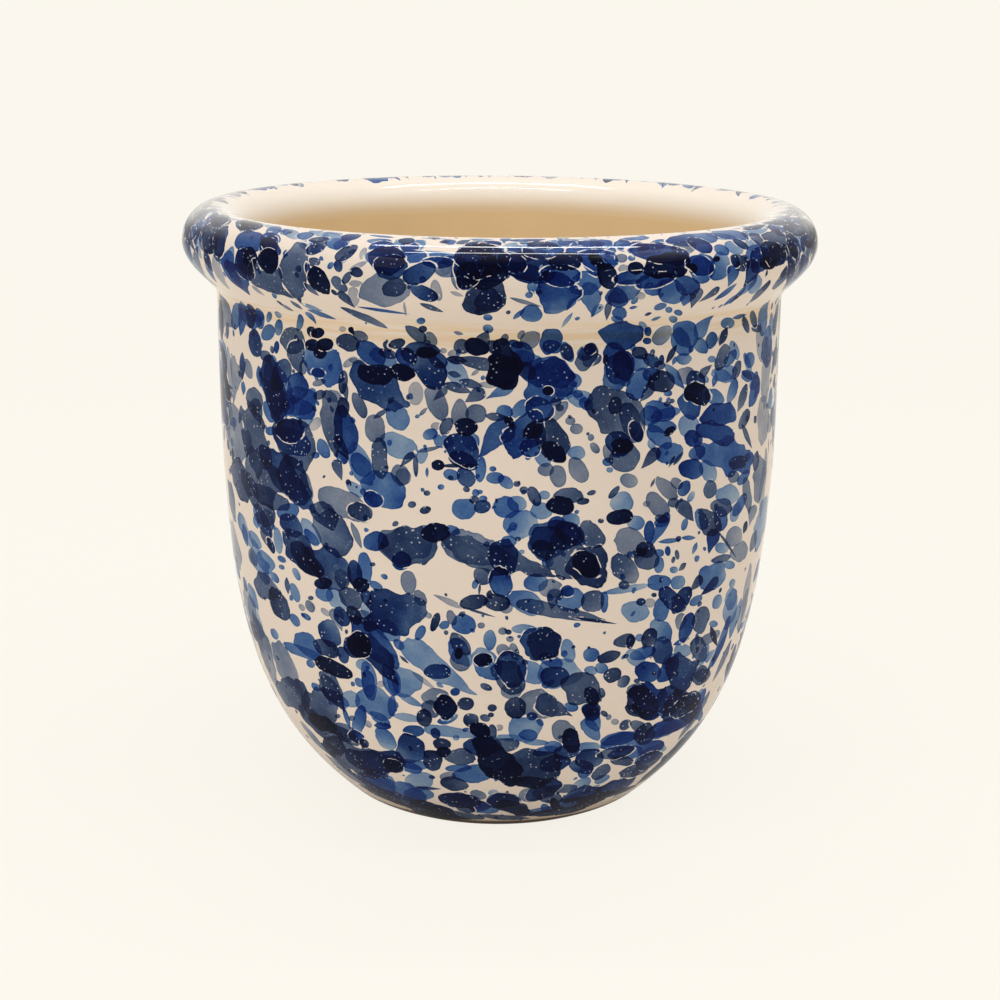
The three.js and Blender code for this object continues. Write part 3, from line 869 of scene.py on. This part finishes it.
            (454, 332, 463, 334, 3.5), (352, 524, 362, 548, 6), (420, 415, 427, 408, 4),
            (418, 452, 440, 447, 4), (757, 530, 750, 553, 6), (760, 216, 786, 206, 6),
            (803, 262, 795, 282, 6), (782, 204, 800, 214, 5), (795, 210, 806, 226, 5),
            (220, 196, 246, 188, 4), (230, 192, 255, 186, 3), (808, 232, 813, 252, 4),
            (760, 202, 785, 200, 4), (228, 480, 236, 520, 6), (300, 722, 330, 755, 5),
            (325, 755, 370, 790, 5), (712, 690, 680, 740, 5), (192, 216, 205, 204, 4),
            (786, 208, 806, 216, 4), (192, 250, 204, 276, 5), (808, 250, 800, 274, 5),
            (732, 640, 714, 680, 4), (747, 203, 762, 197, 4), (760, 201, 784, 200, 3),
            (203, 206, 219, 204, 3), (226, 196, 238, 193, 3),
        ],
        "slate": [
            (199, 228, 194, 243, 5), (305, 284, 318, 295, 5), (342, 307, 387, 327, 7),
            (291, 301, 302, 309, 3), (421, 304, 443, 312, 5), (457, 243, 470, 240, 4),
            (440, 242, 450, 241, 3), (770, 281, 764, 291, 4), (787, 268, 781, 280, 5),
            (374, 418, 388, 409, 5), (287, 578, 288, 593, 5), (386, 799, 414, 806, 5),
            (449, 373, 460, 376, 6), (444, 384, 468, 391, 10), (461, 381, 480, 386, 8),
            (486, 416, 506, 418, 8), (727, 329, 720, 345, 7), (741, 363, 733, 378, 8),
            (747, 385, 738, 410, 7), (756, 417, 754, 422, 4), (675, 456, 669, 467, 3),
            (683, 453, 674, 465, 4), (655, 479, 651, 487, 2.5), (757, 452, 755, 470, 6),
            (742, 425, 751, 446, 5), (686, 564, 680, 570, 5), (462, 607, 495, 617, 2.5),
            (480, 584, 479, 595, 2.5), (400, 656, 408, 663, 3), (496, 499, 497, 503, 2.5),
            (790, 232, 801, 262, 10), (805, 225, 811, 260, 5), (788, 270, 776, 290, 7),
            (800, 262, 782, 294, 5), (197, 200, 212, 196, 4), (190, 214, 187, 248, 5),
            (204, 252, 212, 272, 6), (770, 282, 752, 302, 5), (345, 770, 400, 802, 5),
            (380, 790, 440, 812, 6), (480, 816, 530, 819, 5), (700, 725, 660, 765, 5),
            (196, 212, 222, 200, 4), (775, 217, 802, 208, 5), (768, 217, 790, 211, 4),
            (762, 222, 792, 223, 5), (798, 215, 815, 242, 7), (200, 208, 224, 198, 5),
            (201, 208, 187, 232, 6), (718, 530, 737, 558, 2.5),
        ],
        "charcoal": [
            (676, 346, 667, 362, 6), (440, 466, 478, 465, 4), (448, 359, 466, 361, 8),
            (424, 812, 462, 818, 6), (747, 522, 744, 532, 4), (711, 628, 717, 645, 6),
            (576, 618, 617, 624, 3), (690, 738, 640, 785, 5), (360, 786, 410, 808, 4),
            (420, 812, 470, 820, 4),
        ],
        "ink": [
            (576, 806, 604, 800, 8),
        ],
        "deepBlue": [
            (768, 227, 785, 234, 6),
        ],
    },
    "disc": {
        "paleBlue": [
            (577, 453, 6.5), (517, 504, 6.5), (544, 495, 4), (542, 511, 8), (522, 524, 12), (712, 359, 3),
            (729, 495, 9), (610, 470, 2.5), (623, 502, 9), (636, 523, 7), (722, 548, 5), (730, 565, 4),
            (635, 611, 9.5), (640, 638, 3.5), (684, 651, 6), (560, 672, 15), (531, 673, 10),
            (404, 682, 13), (525, 730, 11), (522, 552, 2), (456, 738, 2.5), (714, 624, 3), (674, 570, 3),
        ],
        "blue": [
            (531, 313, 8.5), (529, 295, 3), (488, 328, 4), (421, 321, 3), (629, 251, 2.5),
            (632, 258, 2.5), (619, 313, 5.5), (669, 310, 3), (673, 319, 3.5), (728, 323, 5),
            (578, 394, 3.5), (464, 508, 10), (505, 508, 9), (483, 499, 3), (493, 469, 2.5),
            (441, 487, 2.5), (480, 492, 2), (684, 359, 5), (668, 393, 3), (670, 453, 9.5), (608, 462, 4),
            (660, 553, 3.3), (660, 583, 8), (591, 655, 6), (602, 668, 5), (535, 583, 8), (465, 625, 9),
            (271, 431, 4), (316, 455, 3), (546, 685, 3), (548, 562, 4.5),
        ],
        "deepBlue": [
            (618, 299, 9), (647, 341, 3), (651, 374, 6), (692, 470, 10), (557, 524, 7), (568, 591, 5),
            (455, 692, 3.5), (532, 716, 4),
        ],
        "navy": [
            (556, 676, 10), (482, 507, 6.5), (641, 602, 3.5),
        ],
        "paleGrey": [
            (624, 269, 4), (641, 296, 3.5), (343, 329, 2.5), (647, 504, 2.8), (650, 603, 4),
            (381, 684, 3), (615, 722, 3), (499, 728, 3),
        ],
        "grey": [
            (622, 258, 4), (570, 421, 4), (576, 429, 5), (546, 470, 6), (629, 481, 7), (511, 691, 8),
            (503, 631, 3.5), (510, 639, 3), (352, 718, 2.5), (265, 427, 2),
        ],
        "slate": [
            (427, 343, 3), (476, 413, 8), (474, 500, 4), (427, 493, 2.5), (517, 484, 2.7),
            (524, 490, 3.2), (556, 402, 4), (560, 408, 3), (722, 507, 8), (660, 365, 4), (667, 404, 2.5),
            (672, 401, 2), (624, 585, 4), (518, 539, 2), (373, 564, 2), (311, 598, 2), (338, 716, 2),
            (637, 681, 2),
        ],
        "charcoal": [
            (423, 329, 3), (662, 382, 9.5), (601, 521, 2.2), (492, 708, 3.5), (491, 715, 2.2),
            (654, 595, 2),
        ],
        "ink": [
            (636, 268, 5.5), (717, 259, 2.5), (318, 333, 5), (313, 345, 6), (325, 344, 6), (320, 353, 5),
            (548, 391, 4), (465, 426, 8), (438, 465, 4.5), (770, 263, 6),
        ],
    },
}
rng = np.random.default_rng(splatter["seed"])
rises = lengthsAlong(coatShown)         # along the shown side of the coat, from the glaze line
crestRow = int(np.argmax(coatShown[:, 1]))


def riseAt(height):
    return float(np.interp(height, coatShown[:crestRow, 1], rises[:crestRow]))


creaseRise = riseAt(creaseHeight)
rollRise = riseAt(rollHeight)
crestRise = float(rises[crestRow])
fullTurn = 2 * math.pi


def wrapped(turn):
    return (turn + math.pi) % fullTurn - math.pi


def coatGrid(piece, outline):
    places = placesOf(piece)
    turn = np.arctan2(places[:, 1], places[:, 0])
    reach = np.hypot(places[:, 0], places[:, 1])
    finder = kdtree.KDTree(len(outline))
    for index, (radius, height) in enumerate(outline):
        finder.insert((radius, 0, height), index)
    finder.balance()
    row = np.array([finder.find((r, 0, z))[1] for r, z in zip(reach, places[:, 2])])
    corners = np.empty(len(piece.data.loops), np.int32)
    piece.data.loops.foreach_get("vertex_index", corners)
    corners = corners.reshape(-1, 4)
    faceRow = row[corners]
    shown = (faceRow < len(coatShown)).all(1)
    first = turn[corners][:, :1]
    middle = (first + wrapped(turn[corners] - first)).mean(1)
    column = np.floor(middle % fullTurn / fullTurn * mesh["steps"]).astype(int) % mesh["steps"]
    centre = (column[:, None] + 0.5) / mesh["steps"] * fullTurn
    faceAt = np.full((len(coatShown) - 1, mesh["steps"]), -1)
    faceAt[faceRow.min(1)[shown], column[shown]] = np.nonzero(shown)[0]
    rise = rises[faceRow.clip(0, len(rises) - 1)]
    return {
        "faceAt": faceAt, "turn": centre + wrapped(turn[corners] - centre), "rise": rise,
        "reach": reach[corners], "row": faceRow, "shown": shown}


# Map for the bake: the back half of the shown side, the front half above it, and a strip for the rest

bakeMap = {
    "edge": 0.004,
    "halfFrom": (0.004, 0.484),         # foot of the back half and of the front half
    "halfTall": 0.472,
    "restFrom": 0.966,
    "restTall": 0.03,
}


def layBakeMap(piece, grid, outline):
    turn, shown = grid["turn"], grid["shown"]
    half = (turn.mean(1) > math.pi).astype(int)
    across = np.where(shown[:, None], (turn - half[:, None] * math.pi) / math.pi, turn / fullTurn)
    hidden = (grid["row"] - len(coatShown)) % len(outline) / len(outline)
    foot = np.array(bakeMap["halfFrom"])[half][:, None]
    upper = foot + bakeMap["halfTall"] * grid["rise"] / rises[-1]
    upwards = np.where(shown[:, None], upper, bakeMap["restFrom"] + bakeMap["restTall"] * hidden)
    across = bakeMap["edge"] + (1 - 2 * bakeMap["edge"]) * across
    layer = piece.data.uv_layers.new(name="OFBake")
    layer.uv.foreach_set("vector", np.stack([across, upwards], 2).astype(np.float32).ravel())


dry = {"place": (9, 9, 0), "form": (1, 0, 0)}   # a face without a drop lies far outside a plain one


class Throw:
    def __init__(self, grid):
        faces = len(grid["turn"])
        layers = splatter["layers"]
        self.grid = grid
        self.taken = np.zeros((layers, faces), bool)
        self.place = np.full((layers, faces, 4, 3), dry["place"], np.float32)
        self.form = np.full((layers, faces, 3), dry["form"], np.float32)
        self.paint = np.zeros((layers, faces, 3), np.float32)
        self.thrown = self.missed = 0

    def drop(self, turn, rise, length, width, lean, taper, spindle, paint, wanted):
        margin = splatter["margin"] + splatter["wider"] * width
        reach = max(length, width) + margin
        spacing = rises[1]
        rows = np.arange(math.floor((rise - reach) / spacing), math.ceil((rise + reach) / spacing))
        rows = rows[(rows >= 0) & (rows < len(rises) - 1)]
        if not len(rows):
            return
        aside = reach / coatShown[rows, 0].min() / fullTurn * mesh["steps"]
        column = turn % fullTurn / fullTurn * mesh["steps"]
        columns = np.arange(math.floor(column - aside), math.ceil(column + aside) + 1) % mesh["steps"]
        faces = self.grid["faceAt"][np.ix_(rows, columns)].ravel()
        sideways = self.grid["reach"][faces] * wrapped(self.grid["turn"][faces] - turn)
        upwards = self.grid["rise"][faces] - rise
        along = (sideways * math.cos(lean) + upwards * math.sin(lean)) / length
        across = (upwards * math.cos(lean) - sideways * math.sin(lean)) / width
        nearAlong = np.clip(0, along.min(1), along.max(1)) / (1 + margin / length)
        nearAcross = np.clip(0, across.min(1), across.max(1)) / (1 + margin / width)
        wet = nearAlong ** 2 + nearAcross ** 2 < 1
        faces = faces[wet]
        seed = rng.random()
        free = np.nonzero(~self.taken[:, faces].any(1))[0]
        if not len(free):
            self.missed += 1
            return
        layer, resist = free[0], 0
        if wanted and free[-1] == splatter["layers"] - 1:
            covered = np.nonzero(self.taken[:, faces].any(1))[0]
            layer, resist = (covered[-1] + 1 if len(covered) else 0), 1
        self.taken[layer, faces] = True
        along, across = along[wet], across[wet]
        self.place[layer, faces] = np.stack([along, across, np.full_like(along, seed)], 2)
        self.form[layer, faces] = (width / mm, taper, spindle)
        self.paint[layer, faces] = (*mixPaint(paint), resist)
        self.thrown += 1

    def keep(self, piece):
        for layer in range(splatter["layers"]):
            for name, domain, values in (
                    ("place", "CORNER", self.place),
                    ("form", "FACE", self.form),
                    ("paint", "FACE", self.paint)):
                kept = piece.data.attributes.new(f"{name}{layer}", "FLOAT_VECTOR", domain)
                kept.data.foreach_set("vector", values[layer].ravel())


def mixPaint(name):
    _, cobalt, grey = splatter["paints"][name]
    uneven = splatter["unevenPaint"]
    return np.array([cobalt, grey]) * rng.uniform(1 - uneven, 1 + uneven, 2)


def anyPaint(names=None):
    paints = splatter["paints"]
    names = names or list(paints)
    shares = np.array([paints[name][0] for name in names])
    return names[rng.choice(len(names), p=shares / shares.sum())]


def anyResist(rise, paint):
    if rise > rollRise - splatter["rimFrom"]:
        return rng.random() < splatter["rimResist"]
    return paint in splatter["resistPaints"] and rng.random() < splatter["wallResist"]


# Where the line of sight through a pixel of the photograph first meets the coat, or comes closest to it

view = viewMatrix()
sightSteps = np.linspace(*photoView["sight"])[:, None] * photoView["distance"]


def potPlace(pixel):
    scale = photoView["sensor"] / photoView["lens"] / photoView["frame"]
    x, y = (np.asarray(pixel) - photoView["frame"] / 2) * scale
    sight = np.array((view.to_3x3() @ Vector((x, -y, -1))).normalized())
    path = np.array(view.translation) + sightSteps * sight
    upToCrest = coatShown[:crestRow + 1]
    skin = np.interp(path[:, 2], upToCrest[:, 1], upToCrest[:, 0], left=0, right=0)
    depth = skin - np.hypot(path[:, 0], path[:, 1])
    met = path[np.argmax(depth > 0) if depth.max() > 0 else np.argmax(depth)]
    return math.atan2(met[1], met[0]), riseAt(met[2]), depth.max() > 0


def throwRead(throw, start, end, width, shape, paint):
    middle, half = (start + end) / 2, (end - start) / 2
    ahead = half / np.linalg.norm(half)
    half = half + ahead * width / 2 * readSize["longer"]
    side = np.array([-ahead[1], ahead[0]]) * width / 2 * readSize["wider"]
    turn, rise, seen = potPlace(middle)
    if not seen:
        return
    reach = np.interp(rise, rises, coatShown[:, 0])

    def onCoat(pixel):
        pixelTurn, pixelRise, _ = potPlace(pixel)
        return np.array([wrapped(pixelTurn - turn) * reach, pixelRise - rise])

    along = (onCoat(middle + half) - onCoat(middle - half)) / 2
    across = (onCoat(middle + side) - onCoat(middle - side)) / 2
    if shape == "oval":
        axes, (length, width), _ = np.linalg.svd(np.stack([along, across], 1))
        along = axes[:, 0] * length
    else:
        length = np.linalg.norm(along)
        width = abs(along[0] * across[1] - along[1] * across[0]) / length
    lean = math.atan2(along[1], along[0])
    length, width = np.clip((length, width), *splatter["sizes"])
    throw.drop(turn, rise, length, width, lean, *shapes[shape], paint, anyResist(rise, paint))


def throwReadAll(throw):
    for paint in splatter["paints"]:
        for shape, byPaint in readDrops.items():
            for *ends, width in byPaint.get(paint, []):
                if shape == "disc":
                    start, end = np.array(ends) - (width, 0), np.array(ends) + (width, 0)
                    throwRead(throw, start, end, 2 * width, "oval", paint)
                else:
                    throwRead(throw, np.array(ends[:2]), np.array(ends[2:]), width, shape, paint)


waves = [
    (rng.integers(*clumping["around"]), rng.uniform(*clumping["upwards"]), rng.uniform(0, fullTurn))
    for _ in range(clumping["waves"])]
bands = (                               # from this rise up, how thick the throw is against the wall's
    (crestRise + 1.5 * mm, 0),
    (rollRise - splatter["rimFrom"], 1.6),
    (creaseRise + 5 * mm, 0.7),
    (creaseRise - 4 * mm, 0.2),
)
thickest = max(share for _, share in bands)


def clumps(turn, rise):
    field = sum(math.cos(around * turn + upwards * rise + phase) for around, upwards, phase in waves)
    return 1 + clumping["depth"] * field / math.sqrt(len(waves) / 2)


def thickness(turn, rise):
    for bottom, share in bands:
        if rise > bottom:
            return share
    return clumps(turn, rise)


def readShare(turn):
    near, far = splatter["frontTurn"]
    away = abs(math.degrees(wrapped(turn + math.pi / 2)))
    return min(max((far - away) / (far - near), 0), 1)


def throwMasses(throw):
    aboveFoot, belowCrease = masses["clearOf"]
    for _ in range(masses["count"]):
        turn = rng.uniform(0, fullTurn)
        rise = rng.uniform(aboveFoot, creaseRise - belowCrease)
        lean = rng.uniform(0, fullTurn)
        reach = np.interp(rise, rises, coatShown[:, 0])
        if rng.random() < readShare(turn):
            continue
        for _ in range(rng.integers(*masses["pools"])):
            away = rng.normal(0, masses["reach"], 2)
            length = rng.uniform(*masses["lengths"]) * mm
            width = length * rng.uniform(*masses["slimness"])
            turned = lean + rng.normal(0, masses["lean"])
            form = (rng.uniform(*masses["tapers"]), rng.uniform(*masses["spindles"]))
            paint = anyPaint(masses["paints"])
            resist = rng.choice(masses["resist"])
            middle = (turn + away[0] / reach, rise + away[1])
            throw.drop(*middle, length, width, turned, *form, paint, resist)


def throwAll(throw):
    area = fullTurn * coatShown[:, 0].mean() * rises[-1] / (1000 * mm * mm)
    weights = coatShown[:, 0] / coatShown[:, 0].sum()
    for kind, (often, lengths, slimness, tapers, spindles) in splatter["kinds"].items():
        kept = splatter["frontShare"][kind]
        for _ in range(round(often * area * thickest)):
            turn = rng.uniform(0, fullTurn)
            rise = rng.choice(rises, p=weights) + rng.uniform(-0.5, 0.5) * rises[1]
            if rng.uniform(0, thickest) > thickness(turn, rise):
                continue
            if rng.random() < readShare(turn) * (1 - kept):
                continue
            length = rng.uniform(*lengths) * mm
            width = length * rng.uniform(*slimness)
            lean = rng.uniform(0, fullTurn)
            if creaseRise - splatter["uprightFrom"] < rise < rollRise:
                upright = math.copysign(math.pi / 2, rng.uniform(-1, 1))
                lean = upright + rng.normal(0, splatter["uprightLean"])
            paint = anyPaint(splatter["beadPaints"] if kind == "bead" else None)
            form = (rng.uniform(*tapers), rng.uniform(*spindles))
            resist = 0 if kind == "bead" else anyResist(rise, paint)
            throw.drop(turn, rise, length, width, lean, *form, paint, resist)


def throwLip(throw):
    spacing = fullTurn / lipTicks["count"]
    for tick in range(lipTicks["count"]):
        length = rng.uniform(*lipTicks["lengths"]) * mm
        lean = math.pi / 2 + rng.normal(0, lipTicks["lean"])
        turn = (tick + rng.uniform(*lipTicks["scatter"])) * spacing
        rise = crestRise + rng.uniform(*lipTicks["pastCrest"]) * mm
        width = length * rng.uniform(*lipTicks["slimness"])
        form = (rng.uniform(*lipTicks["tapers"]), rng.uniform(*lipTicks["spindles"]))
        throw.drop(turn, rise, length, width, lean, *form, anyPaint(lipTicks["paints"]), 0)


coat = coatGrid(outerCoat, outerOutline)
layBakeMap(outerCoat, coat, outerOutline)
throw = Throw(coat)
throwReadAll(throw)
print("splatter:", throw.thrown, "drops from the photograph,", throw.missed, "left out")
throwMasses(throw)
throwAll(throw)
throwLip(throw)
throw.keep(outerCoat)
print("splatter:", throw.thrown, "drops in all,", throw.missed, "left out")


# Paint: every layer's drops, with their uneven outlines and washes, summed up as pigment

dropLook = {
    "halfWild": 3,                      # mm, a drop of this width is half as uneven as the largest pool
    "tearSlims": 0.3,
    "slimmest": 0.03,
    "warp": {"Scale": 170, "Detail": 1},
    "swell": {"Scale": 120, "Detail": 0},
    "swellDepth": 1.1,                  # of the drop's width
    "lobes": {"Scale": 330, "Detail": 1},
    "lobeDepth": 0.9,                   # mm
    "ragged": {"Scale": 900, "Detail": 0},
    "raggedDepth": 0.9,                 # mm
    "raggedFrom": (0.02, 0.14),         # of the swell, so that only some edges are ragged
    "edgeSoftness": 0.07,               # mm
    "edgeWidth": 0.5,                   # mm, darker outline inside a drop
    "edgeDark": 0.3,
    "resistFrom": (-0.46, -0.30),       # mm inside the edge, a cream line sets in here
    "resistTo": (-0.16, -0.04),         # and ends here
    "resistNoise": {"Scale": 400, "Detail": 1},
    "resistPatches": (0.42, 0.56),
    "wash": {"Scale": 130, "Detail": 2},
    "blueWash": 2.7,
    "greyWash": 2.5,
    "blueDrift": 1.1,                   # change of tone from one end of a drop to the other
    "greyDrift": 0.66,
    "leastTone": 0.2,
    "grain": {"Scale": 1500, "Detail": 1},
    "grainDepth": 0.35,
}
pinholes = {
    "cells": 700,                       # in a metre
    "sizes": (0.15, 0.23),              # of a cell, from the clear middle to the edge
    "noise": {"Scale": 170, "Detail": 1},
    "patches": (0.41, 0.54),
    "heavyFrom": (0.9, 1.5),            # units of pigment
    "cobaltCounts": 0.4,
    "cleared": 0.85,
}
mostPigment = {"cobalt": 2.7, "grey": 3.1}      # units that the glaze can hold


def noise(shade, place, settings, output=0):
    return shade.node("TexNoise", {"Vector": place, **settings}, output=output)


def layerValues(shade, name, layer):
    return shade.node("Attribute", output="Vector", attribute_name=f"{name}{layer}").split()


def soaked(pigment, most):
    return most * (1 - (pigment * (-1 / most)).exponent())


def splatterPaint(shade):
    place = shade.node("TexCoord", output="Object")
    wash = noise(shade, place, dropLook["wash"], "Color").split()
    warp = noise(shade, place, dropLook["warp"], "Color").split()
    swell = noise(shade, place, dropLook["swell"]) - 0.5
    lobes = noise(shade, place, dropLook["lobes"]) - 0.5
    ragged = (noise(shade, place, dropLook["ragged"]) - 0.5) * swell.step(*dropLook["raggedFrom"])
    uneven = dropLook["lobeDepth"] * lobes + dropLook["raggedDepth"] * ragged
    swell = dropLook["swellDepth"] * swell
    grain = noise(shade, place, dropLook["grain"]) - 0.5
    patchy = noise(shade, place, dropLook["resistNoise"]).step(*dropLook["resistPatches"])
    cobaltSum = greySum = None
    for layer in range(splatter["layers"]):
        along, across, seed = layerValues(shade, "place", layer)
        width, taper, spindle = layerValues(shade, "form", layer)
        cobalt, grey, resist = layerValues(shade, "paint", layer)
        wild = width / (width + dropLook["halfWild"])
        along = along + wild * (warp[0] - 0.5)
        across = across + wild * (warp[1] - 0.5)
        square = along * along
        slim = (1 - taper * along) * (1 - spindle * square) / (1 + dropLook["tearSlims"] * taper)
        side = across / slim.atLeast(dropLook["slimmest"])
        out = (square + side * side).root()
        inside = (1 - out + swell * wild) * width + uneven * wild
        wet = inside.step(-dropLook["edgeSoftness"], dropLook["edgeSoftness"])
        edge = 1 - inside.step(0, dropLook["edgeWidth"])
        bare = inside.step(*dropLook["resistFrom"]) - inside.step(*dropLook["resistTo"])
        bare = bare * resist * patchy
        drift = (seed - 0.5) * along
        blueWash = wash[0] * seed + wash[1] * (1 - seed) - 0.5
        greyWash = wash[2] * seed + wash[0] * (1 - seed) - 0.5
        blueTone = 1 + wild * dropLook["blueWash"] * blueWash + dropLook["blueDrift"] * drift
        greyTone = 1 + wild * dropLook["greyWash"] * greyWash + dropLook["greyDrift"] * drift
        thick = wet * (1 + dropLook["edgeDark"] * edge)
        blue = cobalt * thick * blueTone.atLeast(dropLook["leastTone"])
        dark = grey * thick * greyTone.atLeast(dropLook["leastTone"])
        if cobaltSum is None:
            cobaltSum, greySum = blue, dark
        else:
            cobaltSum = cobaltSum * (1 - bare) + blue
            greySum = greySum * (1 - bare) + dark
    cobaltSum = soaked(cobaltSum, mostPigment["cobalt"])
    greySum = soaked(greySum, mostPigment["grey"])
    cells = shade.node("TexVoronoi", {"Vector": place, "Scale": pinholes["cells"]}, output="Distance")
    patches = noise(shade, place, pinholes["noise"]).step(*pinholes["patches"])
    heavy = (greySum + pinholes["cobaltCounts"] * cobaltSum).step(*pinholes["heavyFrom"])
    pinhole = (1 - cells.step(*pinholes["sizes"])) * patches * heavy
    clear = (1 + dropLook["grainDepth"] * grain) * (1 - pinholes["cleared"] * pinhole)
    return place, cobaltSum * clear, greySum * clear


# Glaze: a cream ground that the pigment darkens, with thin glaze and painted shade under the crease and a
# dark foot edge

glaze = {
    "cream": (0.695, 0.60, 0.525),
    "cobalt": (2.70, 1.68, 0.64),       # how strongly one unit of pigment takes up red, green and blue
    "grey": (1.56, 1.34, 0.93),
    "thin": (0.66, 0.49, 0.31),         # where the coat runs thin and the clay shows through, and painted shade under the rim's crease
    "thinAndShadeStrength": 0.75,
    "thinAndShadeBelow": (7 * mm, 1 * mm),      # below the crease, where the thin glaze and painted shade set in
    "thinAbove": (1 * mm, 6 * mm),      # above the crease, where it ends
    "thinFoot": 6 * mm,                 # above the glaze line
    "streaks": (30, 30, 700),           # in a metre, round the pot and up it
    "streaked": (0.38, 0.62),
    "footDarkening": (0.07, 0.03, 0.018),       # dark edge of the coat at the foot: clay showing through the thin edge, and painted contact shadow
    "footDarkeningTo": (0.6 * mm, 1.8 * mm),    # above the glaze line
    "footDarkeningWaver": 2 * mm,
    "inwardFrom": 0.5 * mm,             # past the bore, where the lining's colour gives way
    "roughness": 0.08,
    "shine": 0.015,
    "coatFrom": (186 * mm, 190 * mm),   # heights between which the glassy coat of the rim sets in
    "wallCoat": 0.075,                  # gloss of the wall, as a share of the rim's
    "coatRoughness": 0.04,
    "coatIor": 1.42,
    "peel": {"Scale": 140, "Detail": 1},
    "peelDepth": 0.03 * mm,
}
liningGlaze = {
    "deep": (0.785, 0.61, 0.368),       # thin, so that the clay shows through
    # the lip's lighter colour is painted light, for the inner lip lit from above
    "lip": (0.785, 0.72, 0.635),
    "litLipFrom": (178 * mm, 187 * mm),    # heights between which the lighter lip colour takes over: painted light on the inner lip
    "clouds": {"Scale": 40, "Detail": 2},
    "cloudy": 0.12,
    "roughness": 0.1,
    "shine": 0.25,
}


def mixed(low, high, share):
    return [share * (top - bottom) + bottom for bottom, top in zip(low, high)]


def combined(shade, channels):
    return shade.node("CombineColor", dict(zip(("Red", "Green", "Blue"), channels)))


def splatteredGlaze():
    material, shade = newMaterial("splatteredGlaze")
    place, cobalt, grey = splatterPaint(shade)
    east, north, height = place.split()
    reach = (east * east + north * north).root()
    inward = 1 - reach.step(boreRadius + glaze["inwardFrom"], crestRadius)
    inward = inward * height.step(creaseHeight, rollHeight - splatter["rimFrom"])
    # the rim's inner face takes the lining's colour, painted lighter towards the crest as light from
    # above
    inner = mixed(liningGlaze["deep"], liningGlaze["lip"], height.step(*liningGlaze["litLipFrom"]))
    turning = shade.node("Mapping", {"Vector": place, "Scale": glaze["streaks"]})
    streaks = shade.node("TexNoise", {"Vector": turning, "Scale": 1, "Detail": 2})
    # brown band under the crease: partly thin glaze, partly painted shade beneath the rim
    below = height.step(*(creaseHeight - away for away in glaze["thinAndShadeBelow"]))
    above = height.step(*(creaseHeight + away for away in glaze["thinAbove"]))
    foot = 1 - height.step(pot["glazeLine"], pot["glazeLine"] + glaze["thinFoot"])
    thin = (below * (1 - above) * streaks.step(*glaze["streaked"]) + foot) * glaze["thinAndShadeStrength"]
    # dark line at the foot of the coat: partly clay through thin glaze, partly painted contact shadow
    wavering = height - pot["glazeLine"] + glaze["footDarkeningWaver"] * (streaks - 0.5)
    footDarkening = 1 - wavering.step(*glaze["footDarkeningTo"])
    ground = mixed(mixed(glaze["cream"], glaze["thin"], thin), glaze["footDarkening"], footDarkening)
    ground = mixed(ground, inner, inward)
    channels = []
    for clear, blueTakes, greyTakes in zip(ground, glaze["cobalt"], glaze["grey"]):
        taken = cobalt * blueTakes + grey * greyTakes
        channels.append((-1 * taken).exponent() * clear)
    gloss = glaze["wallCoat"] + (1 - glaze["wallCoat"]) * height.step(*glaze["coatFrom"])
    peel = noise(shade, place, glaze["peel"])
    dimpled = shade.node("Bump", {"Height": peel, "Strength": 1, "Distance": glaze["peelDepth"]})
    surface = shade.node("BsdfPrincipled", {
        "Base Color": combined(shade, channels),
        "Roughness": glaze["roughness"],
        "Normal": dimpled,
        "Specular IOR Level": glaze["shine"],
        "Coat Weight": gloss,
        "Coat Roughness": glaze["coatRoughness"],
        "Coat IOR": glaze["coatIor"]})
    closeMaterial(shade, surface)
    return material


def creamGlaze():
    material, shade = newMaterial("creamGlaze")
    place = shade.node("TexCoord", output="Object")
    cloudy = 1 + liningGlaze["cloudy"] * (noise(shade, place, liningGlaze["clouds"]) - 0.5)
    surface = shade.node("BsdfPrincipled", {
        "Base Color": combined(shade, [cloudy * channel for channel in liningGlaze["deep"]]),
        "Roughness": liningGlaze["roughness"],
        "Specular IOR Level": liningGlaze["shine"]})
    closeMaterial(shade, surface)
    return material


clayLook = {
    "dark": (0.17, 0.075, 0.045),
    "light": (0.29, 0.135, 0.075),
    "clouds": {"Scale": 90, "Detail": 4, "Roughness": 0.65},
    "cloudShare": 0.6,                  # the sand has the rest
    "sand": {"Scale": 1800, "Detail": 2},
    "lightFrom": (0.35, 0.65),
    "roughness": 0.85,
    "grain": 0.12 * mm,
}


def bareClay():
    material, shade = newMaterial("bareClay")
    place = shade.node("TexCoord", output="Object")
    clouds = noise(shade, place, clayLook["clouds"])
    sand = noise(shade, place, clayLook["sand"])
    tone = clayLook["cloudShare"] * clouds + (1 - clayLook["cloudShare"]) * sand
    colour = mixed(clayLook["dark"], clayLook["light"], tone.step(*clayLook["lightFrom"]))
    gritty = shade.node("Bump", {"Height": sand, "Strength": 1, "Distance": clayLook["grain"]})
    surface = shade.node("BsdfPrincipled", {
        "Base Color": combined(shade, colour),
        "Roughness": clayLook["roughness"],
        "Normal": gritty})
    closeMaterial(shade, surface)
    return material


outerCoat.data.materials.append(splatteredGlaze())
lining.data.materials.append(creamGlaze())
clay.data.materials.append(bareClay())

for piece in (outerCoat, lining, clay):
    addWaver(piece)

for piece, node, slot in (
        (outerCoat, "outer_glaze", "splattered_glaze"),
        (lining, "inner_glaze", "cream_glaze"),
        (clay, "clay_body", "bare_clay")):
    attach(piece, "root")
    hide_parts(node)

print("finishes: splattered glaze, cream lining and bare clay are on")
